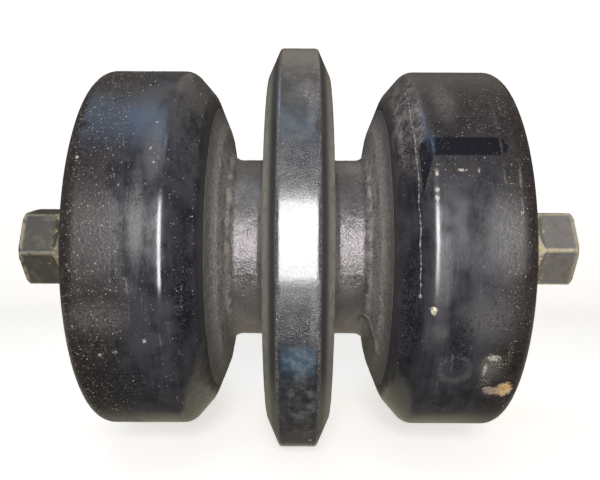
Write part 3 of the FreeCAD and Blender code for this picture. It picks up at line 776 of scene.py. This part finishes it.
    def finish(self, colour, roughness, normal, **fixed):
        feed(self.tree, self.shader.inputs["Base Color"], colour)
        feed(self.tree, self.shader.inputs["Roughness"], roughness)
        feed(self.tree, self.shader.inputs["Normal"], normal)
        for name, value in fixed.items():
            self.shader.inputs[name.replace("_", " ")].default_value = value
        return self.material


def wear(piece, material):
    piece.data.materials.clear()
    piece.data.materials.append(material)


# paint on the drums

drumPaint = dict(
    paint=(0.007, 0.008, 0.011), film=(0.043, 0.043, 0.052), wiped=(0.0045, 0.005, 0.009),
    dust=(0.0095, 0.0075, 0.0072), dustLight=(0.037, 0.029, 0.027), pale=(0.16, 0.15, 0.145),
    slope=(0.115, 0.105, 0.1), slopeDark=(0.052, 0.048, 0.047), rim=(0.045, 0.042, 0.041),
    dish=(0.085, 0.075, 0.062), speckDull=(0.075, 0.067, 0.063), grain=(0.36, 0.34, 0.31),
    chip=(0.5, 0.28, 0.1), chipLight=(0.6, 0.43, 0.22), chipDull=(0.3, 0.23, 0.19),
    chipDark=(0.2, 0.13, 0.07), yellow=(0.62, 0.56, 0.34), fleck=(0.5, 0.48, 0.41),
    glossy=0.18, filmed=0.25, dusty=0.36, gritty=0.6, wipedGloss=0.2, chipped=0.7,
)

drumTraces = dict(  # places are (along, turn, half length, half turn) or strokes as Look.strokes takes them
    left=dict(
        dustEdge=82, slopeLight=1.0, hubDust=0.7, slopeDust=0.42,
        smears=[
            (90, -18.5, 13, 4.2), (66, 27, 4, 9), (72, 9, 3, 12), (95, 130, 12, 8), (80, 200, 9, 12),
            (88, -110, 12, 7),
        ],
        lines=[
            (49.6, -54, -31, 0.55, -0.52), (51.5, -60, -48, 0.5, -0.3), (76, -19, 17, 0.35, 0.02),
            (69.5, -16, 12, 0.3, -0.01), (64, 14, 27, 0.4, -0.05), (62.5, -34, -20, 0.3, 0.03),
            (74, 100, 150, 0.4, 0.02), (82, 170, 176, 0.5, 0.0), (70, -150, -90, 0.4, -0.02),
        ],
        chips=[
            (100.5, 24.3, 0.8, 0.5), (67.5, 27.1, 0.7, 0.4), (66.5, 36.2, 0.7, 0.35), (65.6, 22.9, 0.5, 0.4),
            (70, -25, 1.1, 0.6), (84, -28.5, 1.3, 0.5), (91, -29.5, 0.9, 0.5),
        ],
        wiped=[(71, 14, 6, 4.5), (52.5, -12, 3.2, 14), (51, 52, 2.4, 22), (86, -42, 20, 8)],
    ),
    right=dict(
        dustEdge=92, slopeLight=2.0, hubDust=0.35, slopeDust=1.0,
        smears=[
            (92, 2, 9, 10), (86, -18, 12, 7), (64, -9, 3.5, 9), (64, -22, 3.5, 3), (90, -34, 6, 4),
            (56, 40, 2, 24), (70, 47, 5, 9), (84, 120, 12, 10), (90, 205, 9, 12), (76, -110, 12, 9),
        ],
        lines=[
            (70.5, -34, -17, 0.4, -0.1), (80, -26, -8, 0.4, 0.12), (99, 2, 24, 0.5, 0.06),
            (92.5, 14, 40, 0.5, 0.0), (66, -45, -8, 0.3, 0.0), (74, 90, 150, 0.4, 0.02),
            (70, -150, -90, 0.4, -0.02),
        ],
        chips=[
            (62, 20, 0.8, 0.8), (61.8, 15.5, 1.0, 0.7), (61.6, 13.4, 1.0, 0.8), (73.5, 21, 2.2, 0.4),
            (90, -30, 3.4, 1.0), (87, -34, 1.0, 2.4), (99, 9.7, 0.7, 0.6), (81, 21, 0.5, 0.8),
        ],
        wiped=[(58, 14.5, 3, 1.5), (52, -18, 4, 20), (74, -26, 5, 8), (80, 4, 4, 2), (99, -32, 4.5, 4)],
        rings=[(73, -34, 7, 4.2)],
        bare=[(98.6, -42.6, 4.0, 3.0), (94.5, -43.2, 5.0, 1.7), (90.5, -41.8, 2.4, 0.8)],
        filler=[(90, -31.5, 5, 2.4), (88, -37, 2.2, 5), (97, -29, 1.2, 4)],
    ),
)


def wipedSeven(look):
    # a finger-wide stroke rubbed clean across the tread, turning down the slope at its inner end
    s = seven
    shake = look.scaled(look.cloud(2.4, 3, 0.6), 1.6, -0.8)
    shaky = look.add(look.turn, look.times(shake, 0.25))
    across = look.math("ABSOLUTE", look.scaled(shaky, 1 / s["halfTurn"], -s["turn"] / s["halfTurn"]))
    pastOuter = look.scaled(look.along, 1 / s["outerEnd"], -s["outer"] / s["outerEnd"])
    pastInner = look.scaled(look.along, -1 / s["innerEnd"], s["inner"] / s["innerEnd"])
    past = look.most(look.most(pastOuter, pastInner), 0.0)
    bar = look.fade(look.hypot(across, past), 1.1, 0.9)
    gap = look.fade(look.math("ABSOLUTE", look.scaled(look.add(look.along, shake), 1, -92.6)), 0.3, 1.1)
    bar = look.times(bar, look.level(gap, 0.35, 1.0))
    width = look.scaled(look.turn, 0.26, -3.6)  # the leg narrows as it runs down
    slant = look.add(look.scaled(look.turn, -0.22, -52.7), look.times(shake, 0.3))
    along = look.math("ABSOLUTE", look.add(look.along, slant))
    leg = look.fade(look.math("SUBTRACT", width, along), -0.2, 0.5)
    leg = look.times(leg, look.fade(look.turn, 12.5, 15), look.fade(look.turn, 29, 28))
    return look.most(bar, leg)


def drumMaterial(side):
    p = drumPaint
    traces = drumTraces["left" if side < 0 else "right"]
    look = Look("leftDrumPaint" if side < 0 else "rightDrumPaint")
    out = look.times(look.along, side)
    broad = look.cloud(30, 4, 0.55)
    middle = look.cloud(6, 5, 0.62)
    fine = look.cloud(1.3, 4, 0.65)
    grainy = look.cloud(0.55, 3, 0.7)
    streaks = look.cloud(24, 5, 0.6, look.ringPlace, 0.5)
    onFace = look.fade(look.radius, 78, 84)
    edge = traces["dustEdge"]
    wander = look.scaled(broad, 26, -13)
    outboard = look.fade(look.add(look.add(out, wander), look.scaled(middle, 18, -9)), edge - 9, edge + 8)
    if side > 0:
        # the right drum is dusty all over its upper part instead
        upper = look.fade(look.add(look.add(look.turn, wander), look.scaled(middle, 20, -10)), 10, 30)
        back = look.fade(look.math("ABSOLUTE", look.turn), 90, 120)
        outboard = look.most(outboard, look.most(look.times(upper, 0.85), back))
    smears = look.spots(traces["smears"], side, 1.3, 0.7)
    lines = look.strokes(traces["lines"], side)
    wiped = look.spots(traces["wiped"], side, 0.7, 0.5)
    smoke = look.cloud(15, 4, 0.5, None, 0.4)
    film = look.add(look.times(streaks, 0.35), look.times(smoke, 0.65))
    film = look.fade(look.add(film, look.scaled(middle, 0.3, -0.15)), 0.3, 0.62)
    film = look.level(smears, film, look.fade(middle, 0.2, 0.55))
    colour = look.blend(look.scaled(film, 0.85, 0.12), p["paint"], p["film"])
    dustShade = look.add(look.times(fine, grainy, 2.0), look.scaled(middle, 0.5, -0.25))
    dustShade = look.blend(look.fade(dustShade, 0.36, 0.66), p["dust"], p["dustLight"])
    dustShare = look.times(outboard, look.level(look.fade(look.turn, -34, -62), 0.9, 0.55))
    colour = look.blend(dustShare, colour, dustShade)
    colour = look.blend(look.times(smears, look.fade(fine, 0.28, 0.6), 0.38), colour, p["pale"])
    colour = look.blend(look.times(wiped, look.fade(fine, 0.62, 0.4), 0.85), colour, p["paint"])
    specks = look.dots(1.2, 0.42, 0.45, look.shaken(0.5, 0.7))
    speckShare = look.level(outboard, look.fade(middle, 0.6, 0.72), look.fade(middle, 0.3, 0.46))
    specks = look.times(specks, speckShare)
    speckShade = look.blend(look.fade(grainy, 0.36, 0.66), p["speckDull"], p["grain"])
    colour = look.blend(look.times(specks, look.level(onFace, 0.4, 0.85)), colour, speckShade)
    lineShare = look.times(lines, look.fade(look.add(fine, look.scaled(middle, 0.5, -0.25)), 0.4, 0.6))
    colour = look.blend(look.times(lineShare, look.fade(smoke, 0.4, 0.58), 0.6), colour, p["pale"])
    roughness = look.level(film, p["glossy"], p["filmed"])
    roughness = look.level(look.times(outboard, 0.8), roughness, p["dusty"])
    roughness = look.level(look.times(smears, 0.6), roughness, p["dusty"])
    onSlope = look.fade(look.add(out, look.scaled(middle, 3, -1.5)), 60.5, 57)
    nearHub = look.fade(look.add(look.radius, look.scaled(middle, 14, -7)), 92, 82)
    slopeShare = look.fade(look.add(grainy, look.scaled(middle, 0.6, -0.3)), 0.36, 0.64)
    slopeShade = look.blend(slopeShare, p["slopeDark"], look.shadeOf(p["slope"], traces["slopeLight"]))
    ragged = look.add(look.scaled(fine, 0.5, 0.0), look.scaled(grainy, 0.3, 0.0))
    ragged = look.add(ragged, look.scaled(middle, 0.4, -0.1))
    above = look.fade(look.add(look.turn, look.scaled(broad, 40, -20)), 12, 36)
    behind = look.fade(look.math("ABSOLUTE", look.turn), 100, 140)
    dusted = look.most(look.most(above, behind), look.times(nearHub, traces["hubDust"]))
    slopeDust = look.times(onSlope, dusted, look.fade(ragged, 0.36, 0.62))
    slopeDust = look.times(slopeDust, traces["slopeDust"])
    if side < 0:
        # below the front the rough cast skin comes further out, up to a slanting line
        beyond = look.add(look.scaled(look.turn, 0.5, -30.6), look.add(out, look.scaled(middle, 6, -3)))
        cast = look.times(look.fade(beyond, 1.4, -1.4), look.fade(look.turn, -24, -30))
        cast = look.times(cast, look.fade(look.turn, -78, -66))
        slopeDust = look.most(slopeDust, look.times(cast, look.fade(ragged, 0.26, 0.52), 0.9))
    colour = look.blend(slopeDust, colour, slopeShade)
    roughness = look.level(look.times(slopeDust, 0.4), roughness, p["dusty"])
    nearSeam = look.fade(look.add(look.radius, look.scaled(middle, 9, -4.5)), 87, 81)
    nearSeam = look.times(nearSeam, look.fade(out, 70, 66))
    colour = look.blend(look.times(nearSeam, 0.85), colour, p["rim"])
    roughness = look.level(nearSeam, roughness, p["gritty"])
    if side > 0:
        clean = look.times(wipedSeven(look), look.level(specks, 1.0, 0.8))
        colour = look.blend(look.times(clean, look.level(fine, 1.0, 0.8)), colour, p["wiped"])
        roughness = look.level(clean, roughness, p["wipedGloss"])
        for along, turn, halfLength, halfTurn in traces["rings"]:
            off = look.math("ABSOLUTE", look.scaled(look.away(along, turn, halfLength, halfTurn), 1.0, -1.0))
            wobble = look.add(look.scaled(middle, 1.1, -0.55), look.scaled(broad, 1.2, -0.6))
            ring = look.times(look.fade(look.add(off, wobble), 0.4, 0.0), look.fade(fine, 0.3, 0.62))
            colour = look.blend(look.times(ring, 0.4), colour, p["pale"])
        bare = look.spots(traces["bare"], 1, 1.5, 0.14)
        toRim = look.fade(look.add(look.along, look.scaled(fine, 8, -4)), 93, 99)
        bareShade = look.blend(look.fade(middle, 0.4, 0.62), p["chip"], p["chipLight"])
        bareShade = look.blend(toRim, p["chipDull"], bareShade)
        bareShade = look.blend(look.fade(fine, 0.46, 0.26), bareShade, p["chipDark"])
        colour = look.blend(bare, colour, bareShade)
        roughness = look.level(bare, roughness, p["chipped"])
        filler = look.spots(traces["filler"], 1, 1.6, 0.8)
        filler = look.times(filler, look.fade(grainy, 0.56, 0.66))
        colour = look.blend(look.times(filler, 0.9), colour, p["yellow"])
    chips = look.spots(traces["chips"], side, 2.2, 0.3)
    chips = look.times(chips, look.fade(look.add(fine, look.scaled(grainy, 0.6, -0.3)), 0.42, 0.54))
    colour = look.blend(look.times(chips, 0.85), colour, p["fleck"])
    inDish = look.times(look.fade(out, 62, 66), look.fade(look.radius, 88, 84))
    colour = look.blend(look.times(inDish, look.fade(middle, 0.38, 0.7)), colour, p["dish"])
    roughness = look.level(look.times(inDish, 0.8), roughness, p["gritty"])
    roughness = look.level(look.times(specks, outboard, 0.6), roughness, p["gritty"])
    normal = look.bump(middle, 0.06)
    normal = look.bump(look.times(fine, look.level(outboard, 0.35, 1.0)), 0.11, normal)
    normal = look.bump(look.times(specks, outboard), 0.1, normal)
    return look.finish(colour, roughness, normal, IOR=1.5)


wear(leftDrum, drumMaterial(-1))
wear(rightDrum, drumMaterial(1))


# what is stuck on: pale grains, and the thick runs

def grainMaterial(name, dark, light, mudOver):
    look = Look(name)
    cells = addNode(look.tree, "TexVoronoi", {"Vector": look.place, "Scale": 0.9, "Randomness": 1.0})
    pick = addNode(look.tree, "SeparateColor", {0: cells.outputs["Color"]})
    fine = look.cloud(0.5, 3, 0.6)
    share = look.math("POWER", pick.outputs[0], 1.5)
    colour = look.blend(share, dark, light)
    colour = look.blend(look.fade(fine, 0.55, 0.4), colour, mudOver)
    return look.finish(colour, look.level(fine, 0.3, 0.75), look.bump(fine, 0.08))


wear(leftGrit, grainMaterial("leftGrains", (0.07, 0.062, 0.056), (0.72, 0.7, 0.66), (0.05, 0.044, 0.04)))
wear(rightGrit, grainMaterial("rightGrains", (0.08, 0.073, 0.068), (0.62, 0.59, 0.52), (0.06, 0.055, 0.05)))
wear(paintBead, grainMaterial("beadPaint", (0.14, 0.13, 0.135), (0.42, 0.4, 0.38), (0.05, 0.047, 0.047)))
wear(paintDrop, grainMaterial("dropPaint", (0.5, 0.47, 0.34), (0.75, 0.72, 0.56), (0.2, 0.17, 0.1)))


castPaint = dict(
    paint=(0.062, 0.057, 0.055), dust=(0.135, 0.125, 0.116), dark=(0.026, 0.024, 0.024),
    wall=(0.45, 0.415, 0.38), wallDark=(0.17, 0.156, 0.142), rim=(0.045, 0.042, 0.041),
    # low is a painted reflection: a warm, lighter tone standing in for the floor reflected in the hub's
    # underside
    pale=(0.42, 0.4, 0.36), low=(0.23, 0.215, 0.19), tint=(1, 0.94, 0.99, 1),
    run=[(35.6, -45.9, 3.7, 0.75), (32.3, -49.2, 0.6, 2.8)],
)


def castMaterial():
    p = castPaint
    look = Look("castPaint")
    reach = look.math("ABSOLUTE", look.along)
    broad = look.cloud(26, 4, 0.55)
    middle = look.cloud(6, 4, 0.6)
    pebble = look.cloud(1.25, 3, 0.6)
    fine = look.cloud(0.45, 3, 0.6)
    colour = look.blend(look.fade(broad, 0.35, 0.7), p["paint"], p["dust"])
    colour = look.blend(look.times(look.fade(pebble, 0.5, 0.3), 0.8), colour, p["dark"])
    nearWall = look.fade(look.add(reach, look.scaled(middle, 4, -2)), 34.5, 38.5)
    wallShade = look.fade(look.add(pebble, look.scaled(middle, 0.5, -0.25)), 0.34, 0.62)
    wallShade = look.blend(wallShade, p["wallDark"], p["wall"])
    colour = look.blend(nearWall, colour, wallShade)
    uneven = look.add(look.scaled(middle, 16, -8), look.scaled(pebble, 6, -3))
    nearSeam = look.fade(look.add(look.radius, uneven), 66, 80)
    colour = look.blend(look.times(nearSeam, 0.85), colour, p["rim"])
    # painted reflection: the hub's lower part is blended towards the warm low tone, in place of the floor seen
    # in it
    low = look.times(look.fade(look.turn, -24, -60), look.fade(look.turn, -120, -95))
    colour = look.blend(look.times(low, 0.3), colour, p["low"])
    run = look.spots(p["run"], 1, 0.5, 0.4)
    colour = look.blend(look.times(run, 0.8), colour, p["dark"])
    specks = look.times(look.dots(1.7, 0.4, 0.3, look.shaken(0.7, 0.9)), look.fade(middle, 0.5, 0.62))
    colour = look.blend(look.times(specks, 0.7), colour, p["pale"])
    normal = look.bump(pebble, 0.4)
    normal = look.bump(fine, 0.09, normal)
    normal = look.bump(look.times(middle, nearWall), 0.5, normal)
    roughness = look.level(look.fade(fine, 0.35, 0.65), 0.17, 0.28)
    roughness = look.level(nearWall, roughness, 0.62)
    return look.finish(colour, roughness, normal, IOR=1.66, Specular_Tint=p["tint"])


wear(castPiece, castMaterial())


flangePaint = dict(
    paint=(0.028, 0.029, 0.033), worn=(0.062, 0.06, 0.061), bevel=(0.29, 0.278, 0.238),
    dark=(0.035, 0.034, 0.036), pale=(0.26, 0.25, 0.24), chip=(0.6, 0.42, 0.24), black=(0.012, 0.013, 0.018),
    smears=[
        (3.5, 41, 4, 4), (6.5, 37, 3, 6), (2, -27, 6, 4), (7, -20, 2, 10), (4, -52, 5, 5),
        (-3, 120, 7, 9), (2, 200, 7, 12),
    ],
    scratches=[
        (7, 47, 52, 0.3, 0.25), (3.5, 37, 44, 0.3, 0.2), (-8.2, -33, -29, 0.35, 0.2), (-4, 90, 120, 0.3, 0.1),
    ],
    chips=[(4.5, 39, 2.4, 2.0), (5.2, 37.2, 1.2, 1.0), (4, -50, 1.6, 1.4), (6, -53, 1.0, 1.0)],
    rings=[(1.2, -39.5, 5.2, 5.4)], bare=[(6.2, -59.5, 0.8, 0.9)],
)


def flangeMaterial():
    p = flangePaint
    look = Look("flangePaint")
    middle = look.cloud(5, 5, 0.62)
    fine = look.cloud(0.9, 4, 0.65)
    tiny = look.cloud(0.4, 3, 0.6)
    colour = look.blend(look.fade(middle, 0.36, 0.66), p["paint"], p["worn"])
    smears = look.spots(p["smears"], 1, 1.3, 0.7)
    colour = look.blend(look.times(smears, look.fade(fine, 0.3, 0.6), 0.35), colour, p["pale"])
    lower = look.times(look.fade(look.turn, -19, -28), look.fade(look.turn, -60, -52))
    colour = look.blend(look.times(lower, look.fade(middle, 0.7, 0.36), 0.85), colour, p["black"])
    for along, turn, halfLength, halfTurn in p["rings"]:
        off = look.math("ABSOLUTE", look.scaled(look.away(along, turn, halfLength, halfTurn), 1.0, -1.0))
        wobble = look.scaled(look.cloud(9, 4, 0.6), 1.8, -0.9)
        ring = look.times(look.fade(look.add(off, wobble), 0.45, 0.0), look.fade(middle, 0.3, 0.55))
        colour = look.blend(look.times(ring, 0.3), colour, p["pale"])
    marks = look.most(look.spots(p["chips"], 1, 2.2, 0.3), look.strokes(p["scratches"], 1, 0.8))
    colour = look.blend(look.times(marks, look.fade(fine, 0.5, 0.62), 0.8), colour, p["pale"])
    bare = look.spots(p["bare"], 1, 0.5, 0.15)
    colour = look.blend(bare, colour, p["chip"])
    reach = look.math("ABSOLUTE", look.along)
    onBevel = look.fade(look.add(look.radius, look.scaled(fine, 1.2, -0.6)), 111.9, 111.2)
    bevel = look.blend(look.fade(middle, 0.3, 0.6), look.shadeOf(p["bevel"], 0.6), p["bevel"])
    uneven = look.add(look.scaled(middle, 6, -3), look.scaled(fine, 3, -1.5))
    shadeBand = look.fade(look.add(look.radius, uneven), 101.5, 108)
    bevel = look.blend(look.times(shadeBand, 0.9), bevel, p["dark"])
    colour = look.blend(onBevel, colour, bevel)
    lip = look.times(look.fade(reach, 8.2, 9.3), look.fade(look.radius, 110.6, 111.6))
    lip = look.times(lip, look.fade(fine, 0.42, 0.6))
    colour = look.blend(look.times(lip, 0.5), colour, p["pale"])
    specks = look.times(look.dots(1.6, 0.4, 0.3, look.shaken(0.7, 0.9)), look.fade(middle, 0.52, 0.62))
    colour = look.blend(look.times(specks, 0.6), colour, p["pale"])
    grainyEnd = look.most(look.times(look.fade(look.turn, -5, -9), look.fade(look.turn, -24, -19)),
                          look.times(look.fade(look.turn, 9, 14), look.fade(look.turn, 34, 26)))
    grainyEnd = look.times(grainyEnd, look.fade(look.radius, 110, 112))
    normal = look.bump(middle, 0.04)
    normal = look.bump(fine, 0.1, normal)
    normal = look.bump(tiny, 0.045, normal)
    normal = look.bump(look.times(look.cloud(0.75, 2, 0.6), grainyEnd), 0.6, normal)
    roughness = look.level(look.fade(middle, 0.35, 0.7), 0.1, 0.18)
    roughness = look.level(onBevel, roughness, 0.42)
    feed(look.tree, look.shader.inputs["Coat Weight"], look.level(onBevel, 0.6, 0.0))
    return look.finish(colour, roughness, normal, IOR=1.5, Coat_Roughness=0.3, Coat_IOR=1.5)


wear(centreFlange, flangeMaterial())


def steelMaterial(name, base, worn, dark, size, metallic, roughness):
    look = Look(name)
    middle = look.cloud(size, 5, 0.6)
    fine = look.cloud(size / 8, 4, 0.6)
    colour = look.blend(look.fade(middle, 0.4, 0.65), base, worn)
    colour = look.blend(look.fade(fine, 0.45, 0.3), colour, dark)
    normal = look.bump(fine, 0.04)
    rough = look.level(middle, roughness - 0.08, roughness + 0.14)
    return look.finish(colour, rough, normal, Metallic=metallic)


steels = dict(  # by slot name: base, worn and dark colours, size of the patches, metallic, roughness
    plug_steel=((0.3, 0.29, 0.27), (0.4, 0.38, 0.34), (0.1, 0.09, 0.08), 4, 0.8, 0.35),
    collar_paint=((0.02, 0.02, 0.022), (0.06, 0.055, 0.05), (0.012, 0.011, 0.01), 8, 0.0, 0.35),
    bush_bronze=((0.5, 0.33, 0.14), (0.6, 0.42, 0.2), (0.3, 0.18, 0.08), 5, 1.0, 0.3),
    seal_iron=((0.25, 0.25, 0.26), (0.35, 0.35, 0.36), (0.12, 0.12, 0.12), 5, 0.9, 0.25),
    seal_rubber=((0.015, 0.015, 0.015), (0.03, 0.03, 0.03), (0.008, 0.008, 0.008), 6, 0.0, 0.6),
)
finishes = {name: steelMaterial(name, *values) for name, values in steels.items()}


shaftSkin = dict(
    base=(0.05, 0.047, 0.04), worn=(0.1, 0.088, 0.06), dark=(0.028, 0.025, 0.019), ridge=(0.36, 0.32, 0.22),
    yellow=(0.3, 0.24, 0.1), yellowLight=(0.55, 0.48, 0.24), lightSide=(0.14, 0.129, 0.121),
)


def shaftMaterial():
    # bare forged ends: dull grey-brown flats, rubbed ridges and yellow flakes near the shell
    p = shaftSkin
    look = Look("shaftSteel")
    middle = look.cloud(7, 4, 0.6)
    blotch = look.cloud(3.4, 4, 0.65)
    fine = look.cloud(0.9, 4, 0.65)
    reach = look.math("ABSOLUTE", look.along)
    base = look.blend(look.fade(look.along, -20, 20), p["base"], p["lightSide"])
    colour = look.blend(look.times(look.fade(middle, 0.5, 0.68), 0.8), base, p["worn"])
    colour = look.blend(look.times(look.fade(fine, 0.45, 0.3), 0.5), colour, p["dark"])
    onHex = look.fade(reach, 131, 135)
    ridge = look.times(look.fade(look.add(look.radius, look.scaled(fine, 0.8, -0.4)), 22.75, 23.15), onHex)
    bySide = look.level(look.fade(look.along, -20, 20), 0.35, 0.95)
    rubbed = look.times(ridge, look.fade(blotch, 0.3, 0.5), bySide)
    colour = look.blend(rubbed, colour, p["ridge"])
    endRim = look.fade(look.add(reach, look.scaled(fine, 2, -1)), 153, 155)
    endRim = look.times(endRim, look.fade(blotch, 0.36, 0.5))
    colour = look.blend(look.times(endRim, 0.6), colour, p["ridge"])
    flakeZone = look.fade(look.add(reach, look.scaled(middle, 14, -7)), 140, 134)
    flakes = look.times(look.fade(blotch, 0.55, 0.62), flakeZone)
    flakeShade = look.blend(look.fade(fine, 0.4, 0.62), p["yellow"], p["yellowLight"])
    colour = look.blend(look.times(flakes, 0.85), colour, flakeShade)
    normal = look.bump(middle, 0.08)
    normal = look.bump(flakes, 0.1, normal)
    normal = look.bump(fine, 0.05, normal)
    roughness = look.level(fine, 0.38, 0.6)
    roughness = look.level(look.times(flakes, 0.7), roughness, 0.7)
    return look.finish(colour, roughness, normal, Metallic=0.0)


finishes["shaft_steel"] = shaftMaterial()
for row in frame["record"]["subparts"]:
    if row["node"] != "roller_shell":
        wear(frame["nodes"][row["node"]], finishes[row["material_slot"]])
wear(shaftPiece, finishes["shaft_steel"])
print("materials made")


# floor, light and camera

studio = dict(
    centre=1.4, floorRadius=2.1, sweep=0.9, sweepSteps=24, wallTop=3.0, around=96,
    floorColour=(0.86, 0.85, 0.83), glow=0.72, ambient=(0.13, 0.118, 0.098, 1),
)


def makeStudio():
    # a round pale floor that sweeps up into the wall on every side
    floorZ = shellLow.z
    profile = [(0.0, floorZ), (0.5 * studio["floorRadius"], floorZ), (studio["floorRadius"], floorZ)]
    for step in range(1, studio["sweepSteps"] + 1):
        angle = math.radians(90 * step / studio["sweepSteps"])
        out = studio["floorRadius"] + studio["sweep"] * math.sin(angle)
        profile.append((out, floorZ + studio["sweep"] * (1 - math.cos(angle))))
    profile.append((profile[-1][0], floorZ + studio["wallTop"]))
    around = studio["around"]
    vertices = []
    for radius, z in profile:
        for k in range(around):
            turn = 2 * math.pi * k / around
            vertices.append((studio["centre"] + radius * math.cos(turn), radius * math.sin(turn), z))
    faces = []
    for row in range(len(profile) - 1):
        for k in range(around):
            after = (k + 1) % around
            low = row * around
            high = low + around
            faces.append((low + k, low + after, high + after, high + k))
    mesh = bpy.data.meshes.new("studioSweep")
    mesh.from_pydata(vertices, [], faces)
    mesh.shade_smooth()
    sweep = bpy.data.objects.new("studioSweep", mesh)
    bpy.context.scene.collection.objects.link(sweep)
    sweep.visible_glossy = False
    sweep.visible_diffuse = False
    material = bpy.data.materials.new("studioPaper")
    material.use_nodes = True
    shader = material.node_tree.nodes["Principled BSDF"]
    shader.inputs["Base Color"].default_value = (*studio["floorColour"], 1)
    shader.inputs["Roughness"].default_value = 0.9
    shader.inputs["Specular IOR Level"].default_value = 0.1
    shader.inputs["Emission Color"].default_value = (*studio["floorColour"], 1)
    shader.inputs["Emission Strength"].default_value = studio["glow"]
    mesh.materials.append(material)


def softLight(name, place, width, height, power, colour, target=(0, 0, 0)):
    # width is across the light, height is up it; a light that lies flat has its height along Y
    data = bpy.data.lights.new(name, "AREA")
    data.shape = "RECTANGLE"
    data.size = width
    data.size_y = height
    data.energy = power
    data.color = colour
    light = bpy.data.objects.new(name, data)
    bpy.context.scene.collection.objects.link(light)
    light.location = place
    light.visible_camera = False
    light.rotation_euler = (Vector(target) - Vector(place)).to_track_quat("-Z", "Y").to_euler()


lights = dict(
    frontPanel=dict(place=(1.5, 0, 0.03), width=0.38, height=1.4, power=54, colour=(1, 0.985, 0.985)),
    topPanel=dict(place=(-0.2, -0.1, 1.4), width=1.1, height=1.1, power=1.4, colour=(1, 0.93, 0.84)),
    leftWindow=dict(place=(0.165, -0.5, 1.3), width=0.74, height=0.42, power=2.3, colour=(0.36, 0.62, 1)),
    middleWindow=dict(place=(0.66, 0, 1.3), width=0.26, height=0.16, power=1.3, colour=(0.5, 0.72, 1)),
    lowCard=dict(
        place=(0.134, 0.001, -0.108), target=(0.127, 0.001, 0), width=0.013, height=0.026, power=0.0034,
        colour=(0.16, 0.6, 1),
    ),
    floorGlow=dict(
        place=(-0.22, 0, -0.1122), target=(-0.22, 0, 1), width=0.5, height=0.9, power=0.42,
        colour=(1, 0.92, 0.68),
    ),
    backPanel=dict(place=(-1.2, 0.4, 1.5), width=1.4, height=1.0, power=1.3, colour=(1, 0.9, 0.76)),
)

camera = dict(distance=3.5 * flangeRadius, side=0.66, height=4.0, roll=0.25, lens=40.1)


def makeCamera():
    data = bpy.data.cameras.new("camera")
    data.lens = camera["lens"]
    data.sensor_width = 36
    data.clip_start = 0.01
    made = bpy.data.objects.new("camera", data)
    bpy.context.scene.collection.objects.link(made)
    roll = math.radians(camera["roll"])
    right = Vector((0, math.cos(roll), math.sin(roll)))
    up = Vector((0, -math.sin(roll), math.cos(roll)))
    back = Vector((1, 0, 0))
    turned = Matrix((right, up, back)).transposed().to_4x4()
    place = Vector((camera["distance"], camera["side"], camera["height"])) * mm
    made.matrix_world = Matrix.Translation(place) @ turned
    bpy.context.scene.camera = made


makeStudio()
for name, light in lights.items():
    softLight(name, **light)
makeCamera()
world = bpy.data.worlds.new("world")
bpy.context.scene.world = world
world.use_nodes = True
world.node_tree.nodes["Background"].inputs["Color"].default_value = studio["ambient"]
world.node_tree.nodes["Background"].inputs["Strength"].default_value = 1.0
bpy.context.scene.view_settings.view_transform = "Standard"
print("studio ready")
